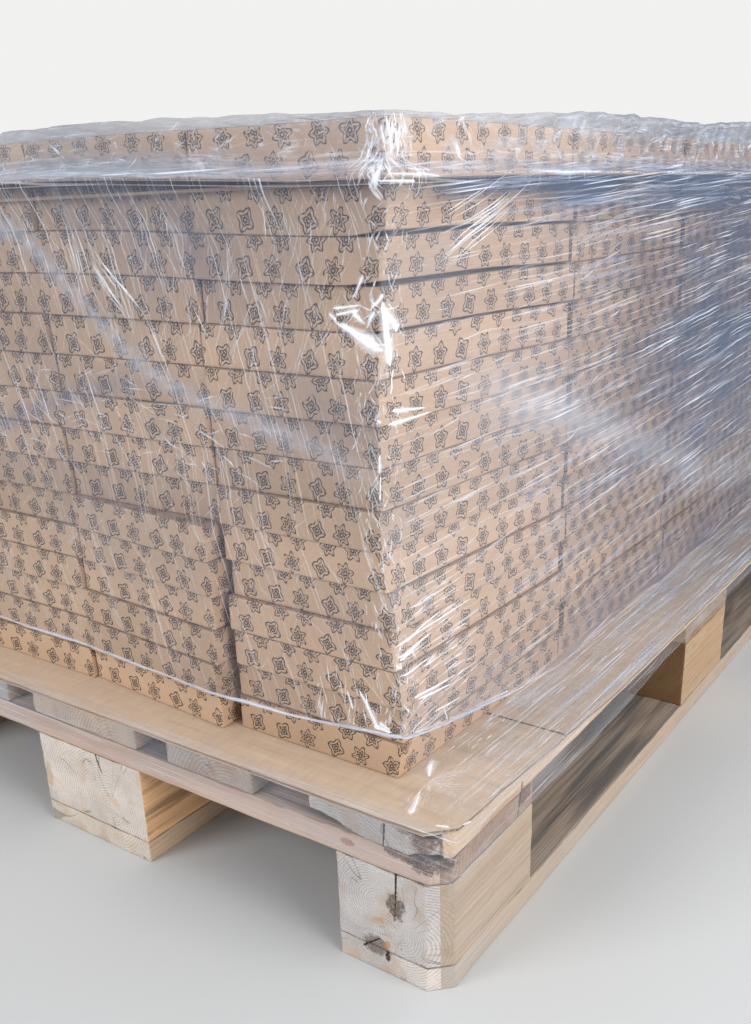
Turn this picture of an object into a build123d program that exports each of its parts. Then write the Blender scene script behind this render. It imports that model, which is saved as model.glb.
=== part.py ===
from build123d import *
import math
import os

# All sizes are in millimetres. X runs along the pallet's length, Y across it, Z up from the floor.
# The origin is on the floor at the middle of the pallet.

# Pallet: five deck boards, three stringer boards, nine blocks and three bottom boards
pallet_length = 1200.0
pallet_width = 800.0
board_thickness = 22.0
wide_board = 145.0
narrow_board = 100.0
block_length = 145.0
block_height = 78.0
corner_bevel = 16.0
sawn_edge = 1.2
ramp_drop = 7.0
ramp_run = 14.0
wane_length = 95.0
wane_width = 22.0
wane_depth = 12.0

# Corrugated slip sheets on the deck: a narrow near sheet, a seam, and the main sheet
sheet_thickness = 4.0
slip_overhang_x = 1.5
slip_overhang_y = 14.5
near_sheet_length = 187.0
sheet_seam = 2.0
slip_corner_cut = 22.0

# Cartons: columns along X, rows along Y
carton_length = 275.0
carton_width = 182.0
carton_height = 31.5
carton_edge = 1.6
carton_gap = 1.4
columns = 4
rows = 4
layers_below = 14
load_offset_x = 3.0
load_offset_y = 29.0

# How far the stacks have slipped: whole rows along X, whole columns along Y
row_slip = 2.6
column_slip = 2.0
kicked_row = 1
kicked_layers = 6
kick_out = 14.0
wedge_gap = 6.0

# Interlayer sheet under the top layer
interlayer_overhang = 14.5
interlayer_corner_cut = 12.0
top_row_slip = 6.0

# Stretch film
film_thickness = 0.8
film_clearance = 0.6
film_bevel = 2.4
hem_height = 30.0
hem_size = 5.0
tent_drop = 45.0
lip_width = 70.0
lip_rise = 14.0
skirt_rise = 96.0
skirt_grip = 46.0
skirt_foot = 7.0
skirt_side_end = 30.0

deck_height = 3 * board_thickness + block_height
sheet_top = deck_height + sheet_thickness
load_top = sheet_top + layers_below * carton_height
interlayer_top = load_top + sheet_thickness
stack_top = interlayer_top + carton_height
kick_top = sheet_top + kicked_layers * carton_height
block_rows_y = [
    -(pallet_width - narrow_board) / 2,
    0.0,
    (pallet_width - narrow_board) / 2,
]
block_rows_x = [
    -(pallet_length - block_length) / 2,
    0.0,
    (pallet_length - block_length) / 2,
]
load_length = columns * carton_length + (columns - 1) * carton_gap
load_width = rows * carton_width + (rows - 1) * carton_gap
load_start_x = load_offset_x - load_length / 2
load_start_y = load_offset_y - load_width / 2
load_end_x = load_start_x + load_length
load_end_y = load_start_y + load_width


def save(node, shape):
    # Writes one named piece
    export_step(shape, f"parts/{node}.step")


def block(low, high):
    # A straight block between two opposite corners
    size = [high[i] - low[i] for i in range(3)]
    middle = [(high[i] + low[i]) / 2 for i in range(3)]
    return Pos(*middle) * Box(*size)


def bevelled_outline():
    # The pallet's plan with its four corners cut at 45 degrees
    plan = Rectangle(pallet_length, pallet_width)
    return chamfer(plan.vertices(), corner_bevel)


def bevel_corners(shape):
    # Takes the pallet's corner bevels off a piece that reaches a corner
    prism = extrude(bevelled_outline(), deck_height + 1)
    return shape & prism


def ease(shape):
    # Breaks every sawn edge a little
    return chamfer(shape.edges(), sawn_edge)


def deck_boards():
    # Five boards along the length: wide at both sides and in the middle, narrow between them
    low = deck_height - board_thickness
    widths = [wide_board, narrow_board, wide_board, narrow_board, wide_board]
    space = (pallet_width - sum(widths)) / (len(widths) - 1)
    start = -pallet_width / 2
    boards = []
    for width in widths:
        board = block(
            (-pallet_length / 2, start, low),
            (pallet_length / 2, start + width, deck_height),
        )
        boards.append(ease(bevel_corners(board)))
        start += width + space
    boards[0] = boards[0] - wane(-pallet_width / 2 + wide_board)
    return boards


def wane(edge):
    # The sliver of missing wood at the end of the near deck board, on its inner top edge
    end = -pallet_length / 2
    corner = Vector(end, edge, deck_height)
    along = Vector(end + wane_length, edge, deck_height)
    across = Vector(end, edge - wane_width, deck_height)
    down = Vector(end, edge, deck_height - wane_depth)
    faces = [
        Face(Wire.make_polygon([corner, along, across])),
        Face(Wire.make_polygon([corner, across, down])),
        Face(Wire.make_polygon([corner, down, along])),
        Face(Wire.make_polygon([along, down, across])),
    ]
    return Solid(Shell(faces))


def stringer_boards():
    # Three boards across, over the blocks and under the deck boards
    low = 2 * board_thickness + block_height - board_thickness
    boards = []
    for middle in block_rows_x:
        board = block(
            (middle - block_length / 2, -pallet_width / 2, low),
            (middle + block_length / 2, pallet_width / 2, low + board_thickness),
        )
        boards.append(ease(bevel_corners(board)))
    return boards


def bottom_board_widths():
    # Narrow boards under the outer block rows and a wide one under the middle row
    return [narrow_board, wide_board, narrow_board]


def pallet_blocks():
    # Nine blocks, each as wide as the bottom board it stands on
    blocks = {}
    for i, middle_x in enumerate(block_rows_x):
        for j, middle_y in enumerate(block_rows_y):
            width = bottom_board_widths()[j]
            shape = block(
                (middle_x - block_length / 2, middle_y - width / 2, board_thickness),
                (
                    middle_x + block_length / 2,
                    middle_y + width / 2,
                    board_thickness + block_height,
                ),
            )
            blocks[f"block_{i + 1}_{j + 1}"] = ease(bevel_corners(shape))
    return blocks


def ramp(middle_y, width, side, low_x, high_x):
    # The sloped upper edge of a bottom board between two blocks, where a truck's wheels cross it
    edge = middle_y + side * width / 2
    corner = (edge, board_thickness)
    inward = (edge - side * ramp_run, board_thickness)
    down = (edge, board_thickness - ramp_drop)
    profile = Plane.YZ * make_face(Polyline(corner, inward, down, close=True))
    return Pos(low_x, 0, 0) * extrude(profile, high_x - low_x, dir=(1, 0, 0))


def bottom_boards():
    # Three boards along the length on the floor, ramped on both upper edges between the blocks
    boards = []
    half = block_length / 2
    for middle_y, width in zip(block_rows_y, bottom_board_widths()):
        board = block(
            (-pallet_length / 2, middle_y - width / 2, 0),
            (pallet_length / 2, middle_y + width / 2, board_thickness),
        )
        board = ease(bevel_corners(board))
        for low_x, high_x in zip(block_rows_x[:-1], block_rows_x[1:]):
            for side in (-1, 1):
                board = board - ramp(middle_y, width, side, low_x + half, high_x - half)
        boards.append(board)
    return boards


def slip_sheets():
    # Two corrugated sheets that cover the deck, with the near sheet's corners cut like the pallet's
    half_x = pallet_length / 2 + slip_overhang_x
    half_y = pallet_width / 2 + slip_overhang_y
    seam = -half_x + near_sheet_length
    near = Pos(-half_x + near_sheet_length / 2, 0) * Rectangle(
        near_sheet_length, 2 * half_y
    )
    near = chamfer(near.vertices().group_by(Axis.X)[0], slip_corner_cut)
    main_length = 2 * half_x - near_sheet_length - sheet_seam
    main = Pos(seam + sheet_seam + main_length / 2, 0) * Rectangle(
        main_length, 2 * half_y
    )
    main = chamfer(main.vertices().group_by(Axis.X)[-1], slip_corner_cut)
    return [
        Pos(0, 0, deck_height) * extrude(near, sheet_thickness),
        Pos(0, 0, deck_height) * extrude(main, sheet_thickness),
    ]


def row_shift(layer, column, row):
    # How far a row has slid along X in one layer; the first carton of one low row is pushed out
    shift = row_slip * math.sin(1.9 * layer + 2.3 * row)
    if row == kicked_row and column == 0 and layer < kicked_layers:
        shift -= kick_out
    return shift


def column_shift(layer, column):
    # How far a whole column has slid along Y in one layer
    return column_slip * math.sin(2.7 * layer + 1.4 * column)


def wedge(layer, row):
    # The gap behind the first row, which opens towards the bottom of the stack
    if row == 0 or layer >= kicked_layers:
        return 0.0
    return wedge_gap * (1 - layer / kicked_layers)


def carton():
    # One flat carton with folded edges, its near lower corner at the origin
    size = Box(
        carton_length, carton_width, carton_height, align=(Align.MIN, Align.MIN, Align.MIN)
    )
    return chamfer(size.edges(), carton_edge)


def carton_place(layer, column, row):
    # Where a carton's near lower corner lies in the plan
    x = load_start_x + column * (carton_length + carton_gap)
    y = load_start_y + row * (carton_width + carton_gap) + wedge(layer, row)
    return x + row_shift(layer, column, row), y + column_shift(layer, column)


def carton_layer(layer, low, keep_inner):
    # One layer of cartons; below the top one the hidden inner ones are left to the core
    pieces = []
    for column in range(columns):
        for row in range(rows):
            inner = 0 < column < columns - 1 and 0 < row < rows - 1
            if inner and not keep_inner:
                continue
            x, y = carton_place(layer, column, row)
            pieces.append(Pos(x, y, low) * carton())
    return Compound(children=pieces)


def top_layer():
    # The last layer, which has slid away from the near corner on its sheet
    moved = carton_layer(layers_below, interlayer_top, True)
    return Pos(top_row_slip, top_row_slip, 0) * moved


def inner_core():
    # One plain block in place of the inner cartons that nothing shows
    low_x = load_start_x + carton_length + carton_gap + row_slip
    high_x = load_start_x + (columns - 1) * (carton_length + carton_gap) - carton_gap - row_slip
    low_y = load_start_y + carton_width + carton_gap + column_slip + wedge_gap
    high_y = load_start_y + (rows - 1) * (carton_width + carton_gap) - carton_gap - column_slip
    return block((low_x, low_y, sheet_top), (high_x, high_y, load_top))


def interlayer_sheet():
    # A corrugated sheet that stands out past the cartons on every side
    out = interlayer_overhang
    sheet = block(
        (load_start_x - out, load_start_y - out, load_top),
        (load_end_x + out, load_end_y + out, interlayer_top),
    )
    return chamfer(sheet.edges().filter_by(Axis.Z), interlayer_corner_cut)


def load_outline(out, kick, wedge_now):
    # The stretched film's plan: a bevelled rectangle pushed out on the near side by the kicked row
    low_x = load_start_x - row_slip - out
    high_x = load_end_x + row_slip + out
    low_y = load_start_y - column_slip - out
    high_y = load_end_y + wedge_now + column_slip + out
    row_low = load_start_y + kicked_row * (carton_width + carton_gap) - column_slip - out
    row_high = row_low + carton_width + wedge_now + 2 * (column_slip + out)
    return [
        (low_x, low_y + film_bevel),
        (low_x + film_bevel, low_y),
        (high_x - film_bevel, low_y),
        (high_x, low_y + film_bevel),
        (high_x, high_y - film_bevel),
        (high_x - film_bevel, high_y),
        (low_x + film_bevel, high_y),
        (low_x, high_y - film_bevel),
        (low_x - kick, row_high),
        (low_x - kick, row_low),
    ]


def sheet_outline(out, reach_x, reach_y):
    # The film's plan round a sheet or the deck, with as many corners as the load's
    low_x, high_x = reach_x[0] - out, reach_x[1] + out
    low_y, high_y = reach_y[0] - out, reach_y[1] + out
    bevel = film_bevel
    third = (high_y - low_y) / 3
    return [
        (low_x, low_y + bevel),
        (low_x + bevel, low_y),
        (high_x - bevel, low_y),
        (high_x, low_y + bevel),
        (high_x, high_y - bevel),
        (high_x - bevel, high_y),
        (low_x + bevel, high_y),
        (low_x, high_y - bevel),
        (low_x, high_y - third),
        (low_x, low_y + third),
    ]


def section(points, height):
    # A closed flat outline at one height
    return Pos(0, 0, height) * make_face(Polyline(*points, close=True))


def film_tube(levels):
    # A film wall through a list of outlines and heights, straight between them
    inner = [section(outline(0.0), height) for outline, height in levels]
    outer = [section(outline(film_thickness), height) for outline, height in levels]
    return loft(outer, ruled=True) - loft(inner, ruled=True)


def around_load(clearance, kick, wedge_now):
    # Film close round the cartons
    return lambda extra: load_outline(clearance + extra, kick, wedge_now)


def around_interlayer(clearance):
    # Film pulled over the edges of the interlayer sheet
    out = interlayer_overhang + clearance
    reach_x = (load_start_x - out, load_end_x + out)
    reach_y = (load_start_y - out, load_end_y + out)
    return lambda extra: sheet_outline(extra, reach_x, reach_y)


def sleeve_levels(clearance):
    # The sleeve from its hem up past the kicked row, out round the sheet and in to the top
    return [
        (around_load(clearance, kick_out, wedge_gap), sheet_top + hem_height),
        (around_load(clearance, kick_out, wedge_gap), kick_top),
        (around_load(clearance, 0.0, 0.0), kick_top + carton_height),
        (around_load(clearance, 0.0, 0.0), load_top - tent_drop),
        (around_interlayer(clearance), load_top - 1),
        (around_interlayer(clearance), interlayer_top + 1),
        (around_load(clearance + top_row_slip, 0.0, 0.0), stack_top + lip_rise),
    ]


def wrap_sleeve():
    # The inner film: its wall, the rolled hem at its foot and the lip folded in over the top
    wall = film_tube(sleeve_levels(film_clearance))
    around = around_load(film_clearance, kick_out, wedge_gap)
    low = sheet_top + hem_height
    middle = low + hem_size / 2
    bead = loft(
        [
            section(around(film_thickness), low),
            section(around(hem_size), middle),
            section(around(film_thickness), low + hem_size),
        ],
        ruled=True,
    )
    bead = bead - extrude(section(around(0.0), low - 1), hem_size + 2)
    return wall + bead + folded_lip()


def folded_lip():
    # The sleeve's top edge, which falls from its crest inwards onto the top cartons
    around = around_load(film_clearance + top_row_slip, 0.0, 0.0)
    crest = stack_top + lip_rise
    low = stack_top + film_clearance
    fall = loft(
        [section(around(-lip_width), low), section(around(film_thickness), crest)],
        ruled=True,
    )
    opening = extrude(section(around(-lip_width), low - 1), lip_rise)
    return fall - Pos(0, 0, film_thickness) * fall - opening


def deck_reach(clearance):
    # How far the film round the deck goes: past the slip sheets, and past the load if that is larger
    half_x = pallet_length / 2 + slip_overhang_x + clearance
    half_y = pallet_width / 2 + slip_overhang_y + clearance
    foot = load_outline(clearance + skirt_foot, kick_out, wedge_gap)
    reach_x = (min(-half_x, *[x for x, y in foot]), max(half_x, *[x for x, y in foot]))
    reach_y = (min(-half_y, *[y for x, y in foot]), max(half_y, *[y for x, y in foot]))
    return reach_x, reach_y


def wrap_skirt():
    # The outer film: a band round the deck's edge, a flange over the slip sheets to the load's foot,
    # and on the two long sides a wall that runs on up the lowest cartons
    reach_x, reach_y = deck_reach(film_clearance)
    low = sheet_top - skirt_grip
    flange_low = sheet_top + film_clearance
    flange_high = flange_low + film_thickness

    def ring(extra):
        return sheet_outline(extra, reach_x, reach_y)

    clearance = 2 * film_clearance + film_thickness
    foot = around_load(film_clearance + skirt_foot, kick_out, wedge_gap)
    head = around_load(clearance + hem_size, kick_out, wedge_gap)
    band = extrude(section(ring(film_thickness), low), flange_high - low)
    band = band - extrude(section(ring(0.0), low - 1), flange_low - low + 1)
    band = band - extrude(section(foot(0.0), low), flange_high)
    wall = film_tube([(foot, flange_low), (head, sheet_top + skirt_rise)])
    side_low = load_start_x - row_slip + skirt_side_end
    side_high = load_end_x + row_slip - skirt_side_end
    keep = block(
        (side_low, 2 * reach_y[0], 0),
        (side_high, 2 * reach_y[1], sheet_top + 2 * skirt_rise),
    )
    return band + (wall & keep)


def build():
    # Makes every piece and writes it under its own name
    os.makedirs("parts", exist_ok=True)
    for number, shape in enumerate(deck_boards(), 1):
        save(f"deck_board_{number}", shape)
    for number, shape in enumerate(stringer_boards(), 1):
        save(f"stringer_board_{number}", shape)
    for name, shape in pallet_blocks().items():
        save(name, shape)
    for number, shape in enumerate(bottom_boards(), 1):
        save(f"bottom_board_{number}", shape)
    near, main = slip_sheets()
    save("slip_sheet_near", near)
    save("slip_sheet_main", main)
    for layer in range(layers_below):
        low = sheet_top + layer * carton_height
        save(f"carton_layer_{layer + 1:02d}", carton_layer(layer, low, False))
    save("carton_core", inner_core())
    save("interlayer_sheet", interlayer_sheet())
    save("carton_layer_top", top_layer())
    save("wrap_sleeve", wrap_sleeve())
    save("wrap_skirt", wrap_skirt())


build()
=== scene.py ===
import math
import bpy
import numpy as np
from mathutils import Matrix, Vector


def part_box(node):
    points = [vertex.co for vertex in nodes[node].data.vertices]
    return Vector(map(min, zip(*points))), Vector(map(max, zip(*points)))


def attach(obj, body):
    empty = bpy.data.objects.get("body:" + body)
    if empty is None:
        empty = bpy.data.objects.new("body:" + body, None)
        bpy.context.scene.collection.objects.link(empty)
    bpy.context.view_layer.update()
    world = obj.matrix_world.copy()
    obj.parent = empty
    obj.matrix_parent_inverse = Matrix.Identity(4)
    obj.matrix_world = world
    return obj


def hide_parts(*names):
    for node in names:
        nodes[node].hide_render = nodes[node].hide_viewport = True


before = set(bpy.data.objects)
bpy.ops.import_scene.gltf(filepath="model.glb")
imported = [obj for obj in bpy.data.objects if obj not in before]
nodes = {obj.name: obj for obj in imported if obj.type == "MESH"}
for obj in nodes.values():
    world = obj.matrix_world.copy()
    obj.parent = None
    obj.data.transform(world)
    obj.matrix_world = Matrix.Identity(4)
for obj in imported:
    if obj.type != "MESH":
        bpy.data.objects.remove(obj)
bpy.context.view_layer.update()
tau = 2 * math.pi

print("stage: helpers")


def makeMesh(name, points, quads, smooth=True):
    # A mesh from arrays: one row per corner, one row of four corner numbers per face
    mesh = bpy.data.meshes.new(name)
    mesh.vertices.add(len(points))
    mesh.vertices.foreach_set("co", np.ascontiguousarray(points, np.float32).ravel())
    mesh.loops.add(quads.size)
    mesh.loops.foreach_set("vertex_index", quads.ravel().astype(np.int32))
    mesh.polygons.add(len(quads))
    mesh.polygons.foreach_set("loop_start", np.arange(0, quads.size, 4, dtype=np.int32))
    mesh.update(calc_edges=True)
    mesh.polygons.foreach_set("use_smooth", np.full(len(quads), smooth))
    mesh.validate()
    return mesh


def addPiece(name, mesh, material, slotName, *replaced):
    # Links one finished piece, which rides on the load and stands for its solids; clear film casts
    # no shadow
    piece = bpy.data.objects.new(name, mesh)
    bpy.context.scene.collection.objects.link(piece)
    mesh.materials.append(material)
    piece.visible_shadow = slotName != "stretch_film"
    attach(piece, "root")
    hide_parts(*replaced)


def setUv(mesh, cornerUv):
    # A UV map from one pair of values per face corner
    layer = mesh.uv_layers.new(name="surface")
    layer.data.foreach_set("uv", np.ascontiguousarray(cornerUv, np.float32).ravel())


def setFields(mesh, domain="POINT", **fields):
    # Named attributes, plain or with three parts, on points or faces
    for name, values in fields.items():
        values = np.ascontiguousarray(values, np.float32)
        kind, part = ("FLOAT_VECTOR", "vector") if values.ndim == 2 else ("FLOAT", "value")
        layer = mesh.attributes.new(name, kind, domain)
        layer.data.foreach_set(part, values.ravel())


def smoothStep(low, high, value):
    # 0 below low, 1 above high, and a soft S between them
    t = np.clip((value - low) / (high - low), 0, 1)
    return t * t * (3 - 2 * t)


def hill(value, middle, width):
    # 1 at the middle, falling off like a bell over the width
    return np.exp(-(((value - middle) / width) ** 2))


def swell(points, seed, size, waves=8):
    # A smooth random field between about -1 and 1: the sum of sine waves in random directions,
    # each about `size` long
    rng = np.random.default_rng(seed)
    way = rng.normal(size=(waves, points.shape[1]))
    way /= np.linalg.norm(way, axis=1, keepdims=True)
    pace = tau / size * rng.uniform(0.6, 1.6, waves)
    turn = rng.uniform(0, tau, waves)
    return np.sin(points @ (way * pace[:, None]).T + turn).sum(axis=1) / math.sqrt(waves * 1.5)


def ridges(points, seed, size, sharp):
    # Narrow ridges where a random field crosses zero: 1 on the line, 0 past 1 / sharp
    return np.clip(1 - np.abs(swell(points, seed, size)) * sharp, 0, 1)


def gridLines(low, high, radius, step, extra=()):
    # Places of grid lines along an edge: close at both ends for the round edge, even between
    near = np.concatenate([np.array([0.0, 0.35, 1.0, 2.2]) * radius, np.array(extra)])
    count = max(1, int(round((high - low - 2 * near[-1]) / step)))
    inner = np.linspace(low + near[-1], high - near[-1], count + 1)[1:-1]
    return np.concatenate([low + near, inner, high - near[::-1]])


def gridQuads(index):
    # The faces between neighbours of a grid of point numbers
    corners = [index[:-1, :-1], index[1:, :-1], index[1:, 1:], index[:-1, 1:]]
    return np.stack(corners, -1).reshape(-1, 4)


def mergePoints(points, pace):
    # Joins points that agree once rounded: the kept places, and each old point's new number
    keys = np.round(points * pace).astype(np.int64)
    first, merged = np.unique(keys, axis=0, return_index=True, return_inverse=True)[1:]
    return points[first], merged.ravel()


def boxShell(lines):
    # Six grids of points on a box, joined at its edges, with each face's axis
    points, quads, axes = [], [], []
    start = 0
    for axis in range(3):
        u, v = (axis + 1) % 3, (axis + 2) % 3
        gridU, gridV = np.meshgrid(lines[u], lines[v], indexing="ij")
        faces = gridQuads(np.arange(gridU.size).reshape(gridU.shape))
        for side in (0, -1):
            flat = np.empty(gridU.shape + (3,))
            flat[..., axis] = lines[axis][side]
            flat[..., u] = gridU
            flat[..., v] = gridV
            points.append(flat.reshape(-1, 3))
            quads.append((faces[:, ::-1] if side == 0 else faces) + start)
            axes.append(np.full(len(faces), axis))
            start += gridU.size
    kept, merged = mergePoints(np.concatenate(points), 1e7)
    return kept, merged[np.concatenate(quads)], np.concatenate(axes)


def roundOut(points, low, high, radius, rough=0.0):
    # Rounds a box's edges: each point goes to `radius` from the box drawn in by the radius
    core = np.clip(points, low + radius, high - radius)
    out = points - core
    out /= np.maximum(np.linalg.norm(out, axis=1, keepdims=True), 1e-9)
    return core + out * (radius + np.reshape(rough, (-1, 1)))


# The film's pull: between the corners the top layers stand higher, and at the near corner the long
# side is drawn in by so much at each height
pullLook = {
    "low": np.array([-0.5529, -0.3403]),
    "high": np.array([0.559, 0.404]),
    "lift": 0.011,
    "liftWay": 0.36,  # the lift is whole this far from a corner
    "liftFrom": 0.44,
    "liftTo": 0.59,
    "liftLong": 0.25,  # share of the lift on the near long side, and at the top cartons' upper edge
    "liftTop": 0.45,
    "topFrom": 0.593,
    "topHigh": 0.032,
    "sag": 0.0024,  # how much lower the long side's second cartons stand
    "reachX": 0.24,
    "reachY": 0.18,
    "heights": (
        0.148, 0.1795, 0.211, 0.2425, 0.274, 0.3055, 0.337, 0.4, 0.463, 0.4945, 0.526, 0.5575, 0.589,
    ),
    "inward": (
        0.0108, 0.0052, 0.0045, 0.0076, 0.0115, 0.0144, 0.0185, 0.018, 0.0165, 0.0135, 0.012, 0.0085,
        0.0045,
    ),
}


def drawnIn(x, y, z):
    # The near corner's inward way: the value for the height, falling evenly to none one carton away
    look = pullLook
    alongX = np.clip(1 - (x - look["low"][0]) / look["reachX"], 0, 1)
    alongY = np.clip(1 - (y - look["low"][1]) / look["reachY"], 0, 1)
    return np.interp(z, look["heights"], look["inward"]) * alongX * alongY


def settle(points):
    # Moves points as the film's pull does: up by the lift, times a soft step of the way to the
    # nearest corner and the share of the height and side; down by the sag; and in at the near corner
    look = pullLook
    x, y, z = points.T
    way = np.minimum(points[:, :2] - look["low"], look["high"] - points[:, :2]).max(axis=1)
    alongX, alongY = x - look["low"][0], y - look["low"][1]
    long = smoothStep(0.30, 0.0, alongY) * smoothStep(0.0, 0.25, alongX)
    share = np.clip((z - look["liftFrom"]) / (look["liftTo"] - look["liftFrom"]), 0, 1)
    atTop = np.clip((z - look["topFrom"]) / look["topHigh"], 0, 1)
    share = share * (1 - (1 - look["liftTop"]) * atTop)
    rise = look["lift"] * smoothStep(0, look["liftWay"], way) * share * (1 - (1 - look["liftLong"]) * long)
    second = smoothStep(0.10, 0.30, alongX) * smoothStep(0.75, 0.45, alongX)
    second = second * smoothStep(0.20, 0.45, z) * smoothStep(0.59, 0.54, z)
    moved = points.copy()
    moved[:, 1] += drawnIn(x, y, z)
    moved[:, 2] += rise - look["sag"] * long * second
    return moved


def solidBoxes(nodeName):
    # The lowest and highest corner of every separate solid in a node, found by spreading the
    # lowest label over each triangle until the labels stand still
    mesh = nodes[nodeName].data
    raw = np.zeros(len(mesh.vertices) * 3, np.float32)
    mesh.vertices.foreach_get("co", raw)
    corner = np.zeros(len(mesh.loops), np.int32)
    mesh.loops.foreach_get("vertex_index", corner)
    points, merged = mergePoints(raw.reshape(-1, 3).astype(float), 1e5)
    triangles = merged[corner].reshape(-1, 3)
    label = np.arange(len(points))
    for _ in range(30):
        least = label[triangles].min(axis=1)
        np.minimum.at(label, triangles.ravel(), np.repeat(least, 3))
    groups = [points[label == number] for number in np.unique(label)]
    return [(group.min(axis=0), group.max(axis=0)) for group in groups if len(group) > 7]


print("stage: shader parts")


class Wire:
    # A shader value: a formula written with it becomes math nodes

    def __init__(self, n, socket):
        self.n = n
        self.socket = socket

    def __add__(self, other):
        return self.n.math("ADD", self, other)

    def __sub__(self, other):
        return self.n.math("SUBTRACT", self, other)

    def __rsub__(self, other):
        return self.n.math("SUBTRACT", other, self)

    def __mul__(self, other):
        return self.n.math("MULTIPLY", self, other)

    def __truediv__(self, other):
        return self.n.math("DIVIDE", self, other)

    def __abs__(self):
        return self.n.math("ABSOLUTE", self)

    __radd__ = __add__
    __rmul__ = __mul__


class Nodes:
    # A short way to add shader nodes to one tree and join them

    def __init__(self, tree):
        self.tree = tree
        tree.nodes.clear()

    def add(self, kind, **settings):
        node = self.tree.nodes.new("ShaderNode" + kind)
        for key, value in settings.items():
            setattr(node, key, value)
        return node

    def put(self, socket, value):
        # A link from another node, or a plain value
        if isinstance(value, Wire):
            self.tree.links.new(value.socket, socket)
        else:
            socket.default_value = value

    def make(self, kind, values, result=0, **settings):
        # A node with its inputs filled in, by name or by number; gives one of its outputs
        node = self.add(kind, **settings)
        for key, value in values.items():
            self.put(node.inputs[key], value)
        return Wire(self, node.outputs[result])

    def math(self, operation, first, second=0.0, clamp=False):
        return self.make("Math", {0: first, 1: second}, operation=operation, use_clamp=clamp)

    def vector(self, operation, first, values, result="Vector"):
        return self.make("VectorMath", {0: first, **values}, result, operation=operation)

    def less(self, first, second):
        return self.vector("SUBTRACT", first, {1: second})

    def length(self, vector):
        return self.vector("LENGTH", vector, {}, "Value")

    def dot(self, first, second):
        return self.vector("DOT_PRODUCT", first, {1: second}, "Value")

    def noise(self, vector, scale, detail, rough):
        values = {"Vector": vector, "Scale": scale, "Detail": detail, "Roughness": rough}
        return self.make("TexNoise", values, "Fac")

    def streaks(self, vector, stretch, detail, rough):
        # Noise drawn out along some of the axes
        return self.noise(self.stretch(vector, stretch), 1.0, detail, rough)

    def stretch(self, vector, scale):
        return self.make("Mapping", {"Vector": vector, "Scale": scale}, "Vector")

    def step(self, value, low, high, outLow=0.0, outHigh=1.0):
        # A soft step from low to high
        values = {"Value": value, "From Min": low, "From Max": high, "To Min": outLow, "To Max": outHigh}
        return self.make("MapRange", values, "Result", interpolation_type="SMOOTHSTEP")

    def mix(self, factor, first, second, blend="MIX"):
        values = {"Factor": factor, 6: first, 7: second}
        return self.make("Mix", values, 2, data_type="RGBA", blend_type=blend)

    def split(self, vector):
        node = self.add("SeparateXYZ")
        self.put(node.inputs[0], vector)
        return [Wire(self, socket) for socket in node.outputs]

    def join(self, x, y, z):
        return self.make("CombineXYZ", {0: x, 1: y, 2: z})

    def bump(self, height, strength, distance):
        values = {"Height": height, "Strength": strength, "Distance": distance}
        return self.make("Bump", values, "Normal")

    def group(self, tree, **values):
        # One group node filled in; gives its outputs by name
        node = self.add("Group", node_tree=tree)
        for label, value in values.items():
            self.put(node.inputs[label], value)
        return {socket.name: Wire(self, socket) for socket in node.outputs}

    def field(self, name, part="Fac"):
        return self.make("Attribute", {}, part, attribute_name=name)

    def place(self):
        return self.make("TexCoord", {}, "Object")


number, colour, vectorKind = "NodeSocketFloat", "NodeSocketColor", "NodeSocketVector"


def newGroup(name, inputs, outputs):
    # An empty node group with named sockets: {name: (kind, value)} in, {name: kind} out
    tree = bpy.data.node_groups.new(name, "ShaderNodeTree")
    n = Nodes(tree)
    for label, (kind, value) in inputs.items():
        socket = tree.interface.new_socket(label, in_out="INPUT", socket_type=kind)
        if value is not None:
            socket.default_value = value
    for label, kind in outputs.items():
        tree.interface.new_socket(label, in_out="OUTPUT", socket_type=kind)
    given = tree.nodes.new("NodeGroupInput").outputs
    out = tree.nodes.new("NodeGroupOutput").inputs
    return tree, n, {label: Wire(n, given[label]) for label in inputs}, out


def newMaterial(name):
    # An empty material with its one principled shader
    material = bpy.data.materials.new(name)
    material.use_nodes = True
    n = Nodes(material.node_tree)
    shader = n.add("BsdfPrincipled")
    output = n.add("OutputMaterial")
    material.node_tree.links.new(shader.outputs[0], output.inputs["Surface"])
    return material, n, shader.inputs


def kraftGroup():
    # Brown board: its colour times 0.69 and shares of long fibres, cloudy tone and the tone given,
    # less the dark specks
    tree, n, given, out = newGroup(
        "kraftBoard",
        {"Vector": (vectorKind, None), "Colour": (colour, (0.5, 0.35, 0.24, 1)), "Tone": (number, 0.0)},
        {"Colour": colour, "Height": number},
    )
    fibre = n.streaks(given["Vector"], (60, 700, 700), 2.0, 0.6)
    cloud = n.noise(given["Vector"], 9.0, 2.0, 0.5)
    speck = n.step(n.noise(given["Vector"], 900.0, 1.0, 0.5), 0.66, 0.74)
    light = fibre * 0.30 + cloud * 0.32 + given["Tone"] * 0.22 + 0.69 - speck * 0.10
    n.put(out["Colour"], n.mix(1.0, given["Colour"], n.join(light, light, light), "MULTIPLY"))
    n.put(out["Height"], fibre + cloud * 0.6)
    return tree


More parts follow.
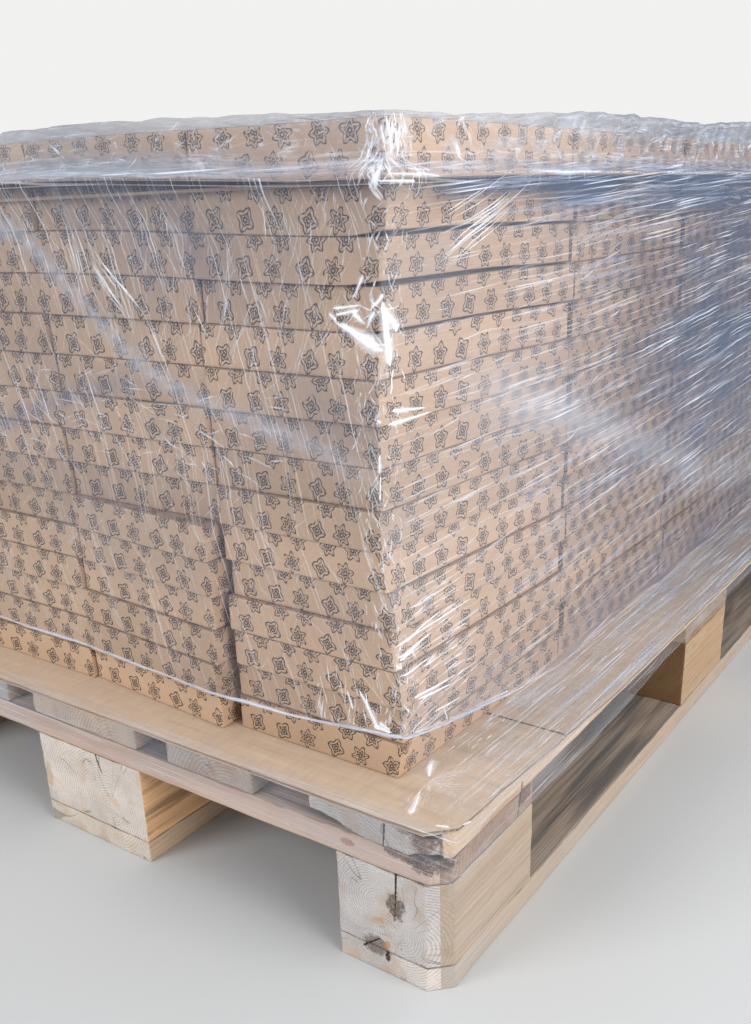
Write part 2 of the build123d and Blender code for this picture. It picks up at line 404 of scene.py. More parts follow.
def rosetteGroup():
    # A print of line rosettes: in each cell of a staggered grid a turned flower or star, drawn as
    # its outline, an inner ring, a heart and spokes, wherever the distance to a line is small
    tree, n, given, out = newGroup(
        "rosettePrint",
        {
            "Vector": (vectorKind, None),
            "Cell": (number, 0.0295),
            "Row": (number, 0.0198),
            "Size": (number, 0.0091),
            "Line": (number, 0.00064),
            "Seed": (number, 0.0),
        },
        {"Ink": number},
    )
    parts = n.split(given["Vector"])
    rowPlace = parts[1] / given["Row"]
    row = n.math("FLOOR", rowPlace)
    cellPlace = parts[0] / given["Cell"] + n.math("FRACT", row * 0.37)
    cell = n.math("FLOOR", cellPlace)
    chance = {"Vector": n.join(cell, row, given["Seed"])}
    random = n.split(n.make("TexWhiteNoise", chance, "Color", noise_dimensions="3D"))
    jitter = (random[1] - 0.5) * 0.12
    x = (n.math("FRACT", cellPlace) + jitter - 0.5) * given["Cell"]
    y = (n.math("FRACT", rowPlace) - 0.5) * given["Row"]
    radius = n.length(n.join(x, y, 0.0))
    angle = n.math("ARCTAN2", y, x) + random[0] * tau
    petals = n.math("FLOOR", random[2] * 2.99) + 4.0
    wave = n.math("COSINE", angle * petals)
    pointed = n.math("GREATER_THAN", random[1], 0.5)
    lobe = abs(wave) * n.math("SIGN", wave)
    sharp = 1.0 - n.math("ARCCOSINE", wave) * (2 / math.pi)
    outline = given["Size"] * ((pointed * (sharp - lobe) + lobe) * 0.20 + 0.80)
    outer = abs(radius - outline)
    inner = abs(radius - outline * 0.52)
    heart = abs(radius - given["Size"] * 0.17)
    spoke = abs(n.math("SINE", angle * (petals * 0.5))) * radius
    spoke = n.math("MAXIMUM", spoke, radius - outline)
    spoke = n.math("MAXIMUM", spoke, given["Size"] * 0.17 - radius)
    nearest = n.math("MINIMUM", n.math("MINIMUM", outer, inner), n.math("MINIMUM", heart, spoke))
    n.put(out["Ink"], n.step(nearest, given["Line"] * 0.7, given["Line"] * 1.4, 1.0, 0.0))
    return tree


def woodGroup():
    # Sawn softwood in its own coordinates: X along the grain, Y and Z from the pith. Rings are
    # waves of the distance from the nearer of two piths, bent by noise; fibres are noise drawn out
    # along X, resin is wider dark streaks, and on a cut end the rings break into fine dashes
    tree, n, given, out = newGroup(
        "sawnWood",
        {
            "Vector": (vectorKind, None),
            "Side": (colour, (0.62, 0.45, 0.30, 1)),
            "End": (colour, (0.5, 0.45, 0.4, 1)),
            "Cut": (number, 0.0),
            "Grey": (number, 0.3),
            "Resin": (number, 0.0),
            "Twin": (vectorKind, (0, 3, 3)),
            "Ring": (number, 0.003),
        },
        {"Colour": colour, "Height": number, "Rough": number},
    )
    place = given["Vector"]
    slow = n.streaks(place, (2.2, 24, 24), 1.0, 0.5)
    fast = n.streaks(place, (9, 150, 150), 1.0, 0.55)
    parts = n.split(place)
    flat = n.join(0.0, parts[1], parts[2])
    other = n.length(n.less(flat, given["Twin"])) + 0.002
    away = n.math("MINIMUM", n.length(flat), other)
    away = away + (slow - 0.5) * 0.010 + (fast - 0.5) * 0.0022
    ramp = n.math("FRACT", away / given["Ring"])
    late = n.step(ramp, 0.25, 0.85) * n.step(ramp, 0.90, 1.0, 1.0, 0.0)
    fibre = n.streaks(place, (12, 620, 620), 2.0, 0.65)
    grit = n.noise(place, 620.0, 1.0, 0.6)
    patch = n.noise(place, 22.0, 2.0, 0.6)
    streak = n.step(n.streaks(place, (5, 95, 95), 2.0, 0.5), 0.50, 0.68)
    # long faces
    tone = (fibre + patch * 0.4) * 0.40 + 0.78 - late * 0.11
    side = n.mix(1.0, given["Side"], n.join(tone, tone - late * 0.05, tone - late * 0.09), "MULTIPLY")
    tarred = n.math("MULTIPLY", streak, given["Resin"], clamp=True)
    side = n.mix(tarred, side, (0.10, 0.050, 0.024, 1))
    weather = n.streaks(place, (4, 34, 34), 2.0, 0.6)
    worn = n.step(weather * 0.75 + fibre * 0.35, 0.40, 0.70)
    dull = fibre * 0.26 + 0.30
    bleached = n.math("MULTIPLY", given["Grey"], worn, clamp=True)
    side = n.mix(bleached, side, n.join(dull * 1.06, dull, dull * 0.92))
    # cut ends
    dash = late * n.step(grit, 0.36, 0.58)
    endTone = (grit * 1.5 + patch * 2.6) * 0.25 + 0.55 - dash * 0.40
    end = n.mix(1.0, given["End"], n.join(endTone, endTone, endTone + dash * 0.03), "MULTIPLY")
    warm = n.step(n.noise(place, 38.0, 2.0, 0.5), 0.52, 0.70)
    end = n.mix(warm * 0.50, end, n.mix(1.0, given["End"], (0.86, 0.66, 0.48, 1), "MULTIPLY"))
    angle = n.math("ARCTAN2", parts[2], parts[1])
    split = n.noise(n.join(angle * 2.6, away * 16.0, parts[0]), 1.0, 1.0, 0.5)
    split = n.step(abs(split - 0.5), 0.004, 0.011, 1.0, 0.0)
    split = split * n.step(n.noise(place, 30.0, 1.0, 0.5), 0.50, 0.58)
    end = n.mix(split * 0.42, end, (0.05, 0.038, 0.03, 1))
    n.put(out["Colour"], n.mix(given["Cut"], side, end))
    sideHeight = fibre * 0.7 + late * 0.25
    endHeight = grit * 0.6 + late * 0.3 - split
    n.put(out["Height"], sideHeight * (1.0 - given["Cut"]) + endHeight * given["Cut"])
    n.put(out["Rough"], fibre * 0.2 + 0.72)
    return tree


def spotGroup():
    # A ragged spot: 1 at its centre, 0 past its radius, its edge bent by the noise `Torn`
    tree, n, given, out = newGroup(
        "raggedSpot",
        {
            "Vector": (vectorKind, None),
            "Centre": (vectorKind, (0, 0, 0)),
            "Stretch": (vectorKind, (1, 1, 1)),
            "Radius": (number, 0.01),
            "Torn": (number, 0.5),
            "Grit": (number, 1.0),
        },
        {"Mask": number},
    )
    offset = n.vector("MULTIPLY", n.less(given["Vector"], given["Centre"]), {1: given["Stretch"]})
    away = n.length(offset) / given["Radius"]
    core = n.step(away + (given["Torn"] - 0.5) * 1.7, 0.60, 1.02, 1.0, 0.0)
    n.put(out["Mask"], core * given["Grit"])
    return tree


def lineGroup():
    # A crack: 1 on the line between two points, 0 away from it, the way bent a little by noise
    tree, n, given, out = newGroup(
        "crackLine",
        {
            "Vector": (vectorKind, None),
            "From": (vectorKind, None),
            "To": (vectorKind, None),
            "Width": (number, 0.001),
            "Bend": (number, 0.0),
        },
        {"Mask": number},
    )
    span = n.less(given["To"], given["From"])
    reach = n.less(given["Vector"], given["From"])
    share = n.math("DIVIDE", n.dot(reach, span), n.dot(span, span), clamp=True)
    away = n.length(n.less(reach, n.vector("SCALE", span, {"Scale": share})))
    thin = given["Width"] * (1.25 - share * 0.6)
    n.put(out["Mask"], n.step(abs(away + given["Bend"]), thin, thin * 2.0, 1.0, 0.0))
    return tree


kraftBoard = kraftGroup()
rosettePrint = rosetteGroup()
sawnWood = woodGroup()
raggedSpot = spotGroup()
crackLine = lineGroup()

print("stage: wood")

woodLook = {
    "edge": 0.0013,  # round of the sawn edges
    "step": 0.028,  # grid along a board
    "blockStep": 0.012,  # grid along a block
    "fine": 0.009,  # grid across a board
    "ends": (0.008, 0.0155, 0.0175),  # extra grid lines at the cut corners
    "warp": 0.0004,
    "rough": 0.00035,
    "bevel": 0.016,  # the pallet's cut corners
    "halfLength": 0.6,
    "halfWidth": 0.4,
    "joints": (0.0220, 0.1000, 0.1220),  # heights where board lies on block or board
    "dust": (0.165, 0.150, 0.138, 1),
    "crack": (0.012, 0.009, 0.008, 1),
    "jointShade": (0.045, 0.030, 0.022, 1),
    "resin": 0.12,
    "farTwin": (3.0, 3.0),  # a second pith too far off to show
}

# Each family: the axis of its grain, its slot, the colours of its long faces and of its ends, and how
# grey its faces have weathered
woodFamilies = {
    "deck_board": (0, "board_wood", (0.53, 0.37, 0.235), (0.40, 0.375, 0.345), 0.50),
    "stringer_board": (1, "board_wood", (0.53, 0.355, 0.265), (0.50, 0.41, 0.33), 0.30),
    "block": (0, "block_wood", (0.64, 0.465, 0.305), (0.62, 0.555, 0.475), 0.22),
    "bottom_board": (0, "board_wood", (0.58, 0.42, 0.29), (0.60, 0.52, 0.43), 0.35),
}

# Pieces that differ: face and end colours, pith, second pith, streaks of resin, and width of a ring
woodOdd = {
    "deck_board_1": {
        "side": (0.66, 0.47, 0.31), "end": (0.50, 0.455, 0.42), "pith": (-0.30, 0.06), "ring": 0.0030,
    },
    "deck_board_2": {
        "side": (0.44, 0.34, 0.25), "end": (0.44, 0.365, 0.31), "pith": (-0.185, 0.104), "ring": 0.0034,
    },
    "deck_board_3": {
        "side": (0.55, 0.38, 0.24), "end": (0.52, 0.41, 0.32), "pith": (-0.045, 0.105), "ring": 0.0032,
    },
    "block_1_1": {
        "side": (0.47, 0.365, 0.275), "end": (0.61, 0.56, 0.525), "pith": (-0.361, 0.043),
        "twin": (0.023, 0.021), "ring": 0.0024,
    },
    "block_1_2": {
        "side": (0.92, 0.56, 0.30), "end": (0.74, 0.645, 0.56), "pith": (-0.024, 0.040), "resin": 0.6,
        "ring": 0.0026,
    },
    "block_2_1": {"side": (0.50, 0.335, 0.20), "end": (0.30, 0.175, 0.085), "ring": 0.0030},
    "bottom_board_1": {
        "side": (0.52, 0.405, 0.31), "end": (0.66, 0.59, 0.53), "pith": (-0.361, 0.043), "ring": 0.0025,
    },
    "bottom_board_2": {
        "side": (0.70, 0.50, 0.33), "end": (0.70, 0.60, 0.49), "pith": (-0.024, 0.040), "ring": 0.0026,
    },
    "stringer_board_1": {"side": (0.60, 0.435, 0.345), "end": (0.34, 0.235, 0.175)},
    "stringer_board_2": {"side": (0.50, 0.36, 0.26), "end": (0.34, 0.25, 0.175)},
}

# The pieces at the near corner, which have stains, knots, cracks and painted shade of their own
markedWood = ("deck_board_1", "stringer_board_1", "block_1_1", "block_1_2", "bottom_board_1")

# Stains, knots and two patches of painted shade: centre, radius, stretch along X Y Z, colour, strength
woodSpots = [
    ((-0.6, -0.356, 0.0690), 0.0112, (0.5, 1.12, 0.82), (0.105, 0.068, 0.045, 1), 0.88),
    ((-0.6, -0.336, 0.0240), 0.0135, (0.5, 0.95, 1.25), (0.125, 0.080, 0.055, 1), 0.80),
    ((-0.6, -0.3475, 0.0285), 0.0042, (0.5, 1.0, 1.0), (0.60, 0.26, 0.06, 1), 0.80),
    ((-0.6, -0.3470, 0.0170), 0.0046, (0.5, 1.5, 0.8), (0.010, 0.007, 0.006, 1), 0.95),
    ((-0.6, -0.3400, 0.0500), 0.0046, (0.5, 0.7, 1.6), (0.58, 0.29, 0.10, 1), 0.70),
    # next two: dark bark and painted shade on the stringer's top edge under the deck board's end
    ((-0.6, -0.3880, 0.1170), 0.0160, (0.5, 0.75, 1.75), (0.085, 0.050, 0.036, 1), 0.90),
    ((-0.6, -0.3640, 0.1195), 0.0120, (0.5, 0.55, 2.60), (0.110, 0.066, 0.046, 1), 0.85),
    ((-0.6, -0.3820, 0.1380), 0.0140, (0.5, 1.15, 1.10), (0.120, 0.068, 0.044, 1), 0.88),
    ((-0.6, -0.3700, 0.1430), 0.0100, (0.5, 0.60, 2.20), (0.130, 0.085, 0.062, 1), 0.70),
    ((-0.470, -0.4, 0.1170), 0.0080, (0.55, 0.5, 0.8), (0.115, 0.060, 0.030, 1), 0.85),
    ((-0.510, -0.4, 0.1240), 0.0095, (0.25, 0.5, 1.6), (0.36, 0.20, 0.09, 1), 0.55),
    ((-0.6, 0.0680, 0.0520), 0.0120, (0.5, 1.7, 0.7), (0.52, 0.33, 0.12, 1), 0.55),
    ((-0.6, -0.3120, 0.1125), 0.0050, (0.5, 0.6, 1.3), (0.33, 0.16, 0.09, 1), 0.75),
]

# Cracks: both ends and half width
woodCracks = [
    ((-0.6, -0.3575, 0.1000), (-0.6, -0.3560, 0.0740), 0.0006),
    ((-0.6, -0.3560, 0.0740), (-0.6, -0.3550, 0.0560), 0.0003),
    ((-0.6, -0.3240, 0.0185), (-0.6, -0.3400, 0.0320), 0.0005),
    ((-0.6, -0.3925, 0.1430), (-0.6, -0.3915, 0.1150), 0.0013),
    ((-0.6, -0.3480, 0.1420), (-0.6, -0.3465, 0.1220), 0.0005),
    ((-0.6, -0.0120, 0.0990), (-0.6, -0.0180, 0.0800), 0.0006),
    ((-0.475, -0.4, 0.1300), (-0.482, -0.4, 0.1010), 0.0006),
]


def woodMaterial(name, spots, cracks):
    # Sawn, weathered wood: rings about each piece's own pith, resin streaks, dust on what lies flat,
    # stains, some painted shade, cracks and the dark broken line where two pieces meet
    look = woodLook
    material, n, shader = newMaterial(name)
    place = n.field("woodPlace", "Vector")
    wood = n.group(
        sawnWood,
        Vector=place,
        Side=n.field("sideColour", "Vector"),
        End=n.field("endColour", "Vector"),
        Cut=n.field("endFace"),
        Grey=n.field("greyness"),
        Resin=n.field("resin"),
        Twin=n.field("twin", "Vector"),
        Ring=n.field("ringWidth"),
    )
    height = wood["Height"]
    world = n.place()
    upright = n.field("upright")
    dusty = n.step(n.streaks(place, (5, 80, 80), 2.0, 0.6), 0.36, 0.66, 0.0, 0.72) + 0.22
    lying = n.math("MULTIPLY", 1.0 - upright, dusty, clamp=True)
    shade = n.mix(lying, wood["Colour"], look["dust"])
    if spots:
        torn = n.noise(world, 150.0, 3.0, 0.75)
        grit = n.step(n.noise(world, 520.0, 1.0, 0.7), 0.30, 0.62, 0.66, 1.0)
        bend = (n.noise(world, 260.0, 1.0, 0.5) - 0.5) * 0.0016
    for centre, radius, stretch, tint, strength in spots:
        spot = n.group(
            raggedSpot, Vector=world, Centre=centre, Radius=radius, Stretch=stretch, Torn=torn, Grit=grit
        )["Mask"]
        shade = n.mix(spot * strength, shade, tint)
        height = height - spot * 0.4
    for start, end, width in cracks:
        mask = n.group(crackLine, Vector=world, From=start, To=end, Width=width, Bend=bend)["Mask"]
        shade = n.mix(mask * 0.95, shade, look["crack"])
        height = height - mask
    z = n.split(world)[2]
    ragged = n.streaks(world, (34, 34, 1), 2.0, 0.6)
    broken = n.step(ragged, 0.40, 0.56, 0.12, 0.74)
    for level in look["joints"]:
        line = n.step(abs(z - level), 0.0002, ragged * 0.0016 + 0.0004, 1.0, 0.0)
        shade = n.mix(line * upright * broken, shade, look["jointShade"])
    n.put(shader["Base Color"], shade)
    n.put(shader["Roughness"], wood["Rough"])
    n.put(shader["Specular IOR Level"], 0.25)
    n.put(shader["Normal"], n.bump(height, 0.5, 0.0012))
    return material


def cutCorners(points):
    # Moves what lies past the pallet's 45 degree corner cuts back onto them
    look = woodLook
    insideX = look["halfLength"] - np.abs(points[:, 0])
    insideY = look["halfWidth"] - np.abs(points[:, 1])
    back = np.maximum(look["bevel"] - insideX - insideY, 0.0) / 2
    moved = points.copy()
    moved[:, 0] -= np.sign(points[:, 0]) * back
    moved[:, 1] -= np.sign(points[:, 1]) * back
    return moved


# The near deck board's weathered end: how far its inner corner is gone in Y and Z, its hollows with
# their centre in Y and Z, reach in Y and Z and depth, and the split along its top, in Y
brokenLook = {
    "steps": (0.0024, 0.0022),
    "ends": (0.004, 0.0055, 0.008, 0.011, 0.0155, 0.0175, 0.028, 0.045, 0.065),
    "inner": 0.020,
    "under": 0.0095,
    "hollows": (
        ((-0.3830, 0.1150), (0.0140, 0.0120), 0.009),
        ((-0.3830, 0.1430), (0.0125, 0.0050), 0.007),
        ((-0.3922, 0.1250), (0.0018, 0.0150), 0.012),
    ),
    "split": (-0.394, -0.390, -0.376, -0.372),
    "splitDeep": 0.006,
}


def breakDeckEnd(points, low, high):
    # The inner corner is drawn back, the hollows go in by their depth times a soft step of the way
    # from their centre, and the split sinks near the end
    look = brokenLook
    end = smoothStep(low[0] + 0.10, low[0], points[:, 0])
    points[:, 1] -= look["inner"] * end * smoothStep(high[1] - 0.075, high[1], points[:, 1])
    lower = smoothStep(low[2] + 0.016, low[2], points[:, 2])
    points[:, 2] += look["under"] * end * lower * smoothStep(high[1] - 0.080, high[1] - 0.03, points[:, 1])
    face = smoothStep(low[0] + 0.012, low[0] + 0.001, points[:, 0])
    ragged = 1 + 0.25 * swell(points, 301, 0.006)
    deep = 0
    for centre, reach, depth in look["hollows"]:
        away = np.hypot((points[:, 1] - centre[0]) / reach[0], (points[:, 2] - centre[1]) / reach[1])
        deep = deep + depth * smoothStep(1.15, 0.75, away)
    points[:, 0] += face * deep * ragged
    y = points[:, 1]
    near, nearIn, farIn, far = look["split"]
    top = smoothStep(high[2] - 0.005, high[2], points[:, 2])
    top = top * smoothStep(far, farIn, y) * smoothStep(near, nearIn, y)
    points[:, 2] -= look["splitDeep"] * top * smoothStep(low[0] + 0.03, low[0] + 0.005, points[:, 0])
    return points


def sawnPiece(nodeName, family, seed):
    # One board or block: a box grid with rounded, slightly uneven edges, warped a little
    look = woodLook
    grain, _, sideColour, endColour, grey = woodFamilies[family]
    odd = woodOdd.get(nodeName, {})
    low, high = (np.array(corner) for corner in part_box(nodeName))
    size = high - low
    steps = [look["fine"]] * 3
    steps[grain] = look["step"] if size[grain] > 0.3 else look["blockStep"]
    extra = [look["ends"] if size[i] > 0.09 else () for i in range(3)]
    broken = nodeName == "deck_board_1"
    if broken:
        steps[1:] = brokenLook["steps"]
        extra[0] = brokenLook["ends"]
    lines = [gridLines(low[i], high[i], look["edge"], steps[i], extra[i]) for i in range(3)]
    points, quads, axes = boxShell(lines)
    rough = look["rough"] * (swell(points, seed, 0.02) + 0.7 * swell(points, seed + 1, 0.008))
    points = cutCorners(roundOut(points, low, high, look["edge"], rough))
    if broken:
        points = breakDeckEnd(points, low, high)
    points[:, 2] += look["warp"] * swell(points[:, [grain]], seed + 2, 0.7) * (low[2] > 0.01)
    points[:, 2] = np.maximum(points[:, 2], 0.0)
    mesh = makeMesh(nodeName, points, quads)
    rng = np.random.default_rng(seed)
    pith = (low + high) / 2 + rng.uniform(-0.5, 0.5, 3) * size * (0.8, 0.8, 2.2)
    if "pith" in odd:
        pith[1:] = odd["pith"]
    place = points - pith
    place[:, [0, grain]] = place[:, [grain, 0]]
    place[:, 0] += seed * 1.7
    tone = 1 + rng.uniform(-0.12, 0.12)
    ring = rng.uniform(0.0025, 0.0045)
    even = np.ones((len(points), 1))
    setFields(mesh, "FACE", endFace=axes == grain, upright=axes != 2)
    setFields(
        mesh,
        woodPlace=place,
        sideColour=even * odd.get("side", np.array(sideColour) * tone),
        endColour=even * odd.get("end", np.array(endColour) * tone),
        twin=even * (0.0, *odd.get("twin", look["farTwin"])),
        greyness=np.clip(grey * (0.9 + 0.6 * swell(points, seed + 3, 0.25)), 0, 1),
        resin=even.ravel() * odd.get("resin", look["resin"]),
        ringWidth=even.ravel() * odd.get("ring", ring),
    )
    return mesh


def buildPallet():
    # All twenty pieces of wood
    plain = woodMaterial("palletWood", [], [])
    marked = woodMaterial("markedWood", woodSpots, woodCracks)
    seed = 11
    for family, (_, slotName, *_) in woodFamilies.items():
        for nodeName in sorted(name for name in nodes if name.startswith(family)):
            material = marked if nodeName in markedWood else plain
            addPiece(nodeName + "_wood", sawnPiece(nodeName, family, seed), material, slotName, nodeName)
            seed += 7


buildPallet()

print("stage: cartons")

cartonLook = {
    "edge": 0.0014,
    "step": 0.026,
    "dent": 0.0004,
    "board": (0.61, 0.415, 0.275, 1),
    "ink": (0.028, 0.029, 0.038, 1),
    "rim": (0.13, 0.085, 0.06, 1),
    "column": 0.1,  # cartons that start this near the load's side are its outer ones
    "secondReach": 0.15,  # those that start this far on are the second ones
    "farEnd": 0.9,
    "gapeLayers": {"carton_layer_14": 0.0040, "carton_layer_13": 0.0036, "carton_layer_12": 0.0028},
    "gapeDepth": 0.03,
    "gapeHigh": 0.012,
    # the second cartons of the low layers are turned: this much further in at their far end
    "turnIn": 0.0135,
    "turnLayers": 6,
    "seamGap": 0.0045,  # the corner cartons of those layers stand this much off them
    "longSeam": 0.0040,  # gap between the cartons along the near long side
    "topRise": 0.0054,  # how much taller the top cartons are
}


def cartonMaterial(printed):
    # Brown carton board; printed, it has dark line rosettes and darker upper and lower edges
    look = cartonLook
    material, n, shader = newMaterial("printedCarton" if printed else "plainCarton")
    world = n.place()
    tone = n.field("tone") if printed else 0.0
    board = n.group(kraftBoard, Vector=world, Colour=look["board"], Tone=tone)
    shade = board["Colour"]
    if printed:
        ink = n.group(rosettePrint, Vector=n.make("UVMap", {}, 0, uv_map="surface"))["Ink"]
        wear = n.step(n.noise(world, 240.0, 1.0, 0.6), 0.22, 0.45)
        shade = n.mix(ink * wear * 0.92, shade, look["ink"])
        shade = n.mix(n.field("edgeLine") * 0.55, shade, look["rim"])
        n.put(shader["Specular IOR Level"], 0.3)
    n.put(shader["Base Color"], shade)
    n.put(shader["Roughness"], board["Height"] * 0.12 + 0.62 if printed else 0.7)
    n.put(shader["Normal"], n.bump(board["Height"], 0.25, 0.0006))
    return material


def cartonShell(low, high, seed, gape):
    # One flat carton: a box grid with rounded edges, faces that swell and dent a little, and on
    # some a lower edge that has lifted towards the near corner by `gape`
    look = cartonLook
    lines = [gridLines(low[i], high[i], look["edge"], look["step"]) for i in range(3)]
    points, quads, axes = boxShell(lines)
    flat = roundOut(points, low, high, look["edge"])
    size = high - low
    middle, half = (low + high) / 2, size / 2
    inside = np.clip(1 - np.abs((flat - middle) / half) ** 4, 0, 1)
    belly = look["dent"] * swell(flat, seed, 0.11)
    for axis in (0, 1):
        off = points[:, axis] - middle[axis]
        outer = np.sign(off) * (np.abs(off) > half[axis] * 0.99)
        flat[:, axis] += outer * belly * inside[:, 1 - axis] * inside[:, 2]
    if gape:
        near = np.clip(1 - (flat[:, 1] - low[1]) / look["gapeDepth"], 0, 1)
        along = 1 - 0.65 * (flat[:, 0] - low[0]) / size[0]
        bottom = np.clip(1 - (flat[:, 2] - low[2]) / look["gapeHigh"], 0, 1)
        flat[:, 2] += gape * near * along * bottom
    local = points[quads] - low
    uv = np.where((axes == 0)[:, None, None], local[..., [1, 2]], local[..., [0, 2]])
    uv = np.where((axes == 2)[:, None, None], local[..., [0, 1]], uv)
    uv[..., 0] += np.where((axes == 0)[:, None], size[0], 0.0)
    rim = np.abs(np.abs(points[:, 2] - middle[2]) - half[2]) < 1e-6
    return flat, quads, uv, rim


def buildCartons():
    # Every layer of cartons as one piece of separate cartons
    look = cartonLook
    material = cartonMaterial(True)
    rng = np.random.default_rng(5)
    for nodeName in sorted(name for name in nodes if name.startswith("carton_layer")):
        points, quads, uvs, rims, tones = [], [], [], [], []
        start = 0
        layer = nodeName.split("_")[-1]
        kicked = layer != "top" and int(layer) <= look["turnLayers"]
        gape = look["gapeLayers"].get(nodeName, 0.0)
        boxes = solidBoxes(nodeName)
        nearX, nearY = np.min([low for low, high in boxes], axis=0)[:2] + look["column"]
        for low, high in boxes:
            atCorner = low[0] < nearX and low[1] < nearY
            second = low[0] < nearX and nearY < low[1] < nearY + look["secondReach"]
            if atCorner and kicked:
                high = high - (0, look["seamGap"], 0)
            if low[1] < nearY and high[0] < nearX + look["farEnd"]:
                high = high - (look["longSeam"], 0, 0)
            if layer == "top":
                high = high + (0, 0, look["topRise"])
            flat, faces, uv, rim = cartonShell(low, high, int(rng.integers(1e6)), gape * atCorner)
            if second and kicked:
                flat[:, 0] += look["turnIn"] * (flat[:, 1] - low[1]) / (high[1] - low[1])
            points.append(flat)
            quads.append(faces + start)
            uvs.append(uv)
            rims.append(rim)
            tones.append(np.full(len(flat), rng.uniform(-0.5, 0.5)))
            start += len(flat)
        mesh = makeMesh(nodeName, settle(np.concatenate(points)), np.concatenate(quads))
        setUv(mesh, np.concatenate(uvs))
        setFields(mesh, edgeLine=np.concatenate(rims), tone=np.concatenate(tones))
        addPiece(nodeName + "_cartons", mesh, material, "carton_board", nodeName)
    core = nodes["carton_core"].data.materials
    core.clear()
    core.append(cartonMaterial(False))


buildCartons()

print("stage: corrugated sheets")

sheetLook = {
    "liner": 0.0007,
    "flute": 0.0068,  # one wave of the middle paper
    "fluteSteps": 8,
    "step": 0.02,
    "rim": (0.006, 0.012, 0.02),  # extra grid lines near the rims
    "ragged": 0.0012,
    "groove": (0.20, 0.13, 0.09, 1),
    "pale": (0.74, 0.62, 0.50, 1),
    "dark": (0.36, 0.25, 0.17, 1),
}


def sheetMaterial(name, baseColour):
    # Plain brown corrugated board with the faint washboard of its flutes and scuffs
    look = sheetLook
    material, n, shader = newMaterial(name)
    world = n.place()
    board = n.group(kraftBoard, Vector=n.stretch(world, (1, 0.35, 1)), Colour=baseColour, Tone=0.0)
    washboard = n.math("SINE", n.split(world)[0] * (tau / look["flute"]))
    shade = n.mix(n.step(washboard, -1.0, 1.0) * 0.025, board["Colour"], look["groove"])
    scuff = n.streaks(world, (90, 7, 1), 2.0, 0.65)
    shade = n.mix(n.step(scuff, 0.50, 0.75, 0.0, 0.32), shade, look["pale"])
    shade = n.mix(n.step(scuff, 0.46, 0.25, 0.0, 0.30), shade, look["dark"])
    n.put(shader["Base Color"], shade)
    n.put(shader["Roughness"], 0.75)
    n.put(shader["Specular IOR Level"], 0.25)
    n.put(shader["Normal"], n.bump(board["Height"] + washboard * 0.10, 0.3, 0.0006))
    return material


def linerShell(low, high, seed):
    # One flat paper of a sheet, whose rim wanders inwards a little
    look = sheetLook
    lines = [gridLines(low[i], high[i], 0.0002, look["step"], look["rim"]) for i in range(2)]
    points, quads, _ = boxShell(lines + [np.array([low[2], high[2]])])
    flat = points[:, :2]
    wander = np.abs(np.stack([swell(flat, seed, 0.03), swell(flat, seed + 1, 0.03)], -1))
    atRim = np.minimum(flat - low[:2], high[:2] - flat) < 0.004
    points[:, :2] -= np.sign(flat - (low[:2] + high[:2]) / 2) * look["ragged"] * wander * atRim
    return points, quads


def fluteSheet(low, high):
    # The waved middle paper: a sine wave of X between the two liners
    look = sheetLook
    count = int((high[0] - low[0]) / look["flute"] * look["fluteSteps"])
    x = np.linspace(low[0] + 0.001, high[0] - 0.001, count)
    middle, reach = (low[2] + high[2]) / 2, (high[2] - low[2]) / 2 - look["liner"] - 0.0001
    z = middle + reach * np.sin(x * tau / look["flute"])
    y = np.array([low[1] + 0.0012, high[1] - 0.0012])
    points = np.stack([np.repeat(x, 2), np.tile(y, count), np.repeat(z, 2)], -1)
    return points, gridQuads(np.arange(count * 2).reshape(count, 2))


def corrugatedSheet(nodeName, material, slotName, cut, seed, cutSides):
    # Two liners and a waved middle paper, with corners cut off by `cut` at the sides named
    low, high = (np.array(corner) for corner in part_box(nodeName))
    apart = np.array([0, 0, high[2] - low[2] - sheetLook["liner"]])
    parts = [linerShell(low, high - apart, seed), linerShell(low + apart, high, seed)]
    parts.append(fluteSheet(low, high))
    points = np.concatenate([part[0] for part in parts])
    starts = np.cumsum([0] + [len(part[0]) for part in parts])
    quads = np.concatenate([part[1] + start for part, start in zip(parts, starts)])
    for signX in cutSides:
        for signY in (-1, 1):
            edgeX = high[0] if signX > 0 else low[0]
            edgeY = high[1] if signY > 0 else low[1]
            past = cut - signX * (edgeX - points[:, 0]) - signY * (edgeY - points[:, 1])
            back = np.maximum(past, 0) / 2
            points[:, 0] -= signX * back
            points[:, 1] -= signY * back
    mesh = makeMesh(nodeName, settle(points), quads, smooth=False)
    addPiece(nodeName + "_board", mesh, material, slotName, nodeName)


slipBoard = sheetMaterial("slipBoard", (0.61, 0.46, 0.335, 1))
middleBoard = sheetMaterial("interlayerBoard", (0.50, 0.36, 0.25, 1))
corrugatedSheet("slip_sheet_near", slipBoard, "slip_board", 0.022, 31, (-1,))
corrugatedSheet("slip_sheet_main", slipBoard, "slip_board", 0.022, 37, (1,))
corrugatedSheet("interlayer_sheet", middleBoard, "interlayer_board", 0.012, 41, (-1, 1))

print("stage: film")

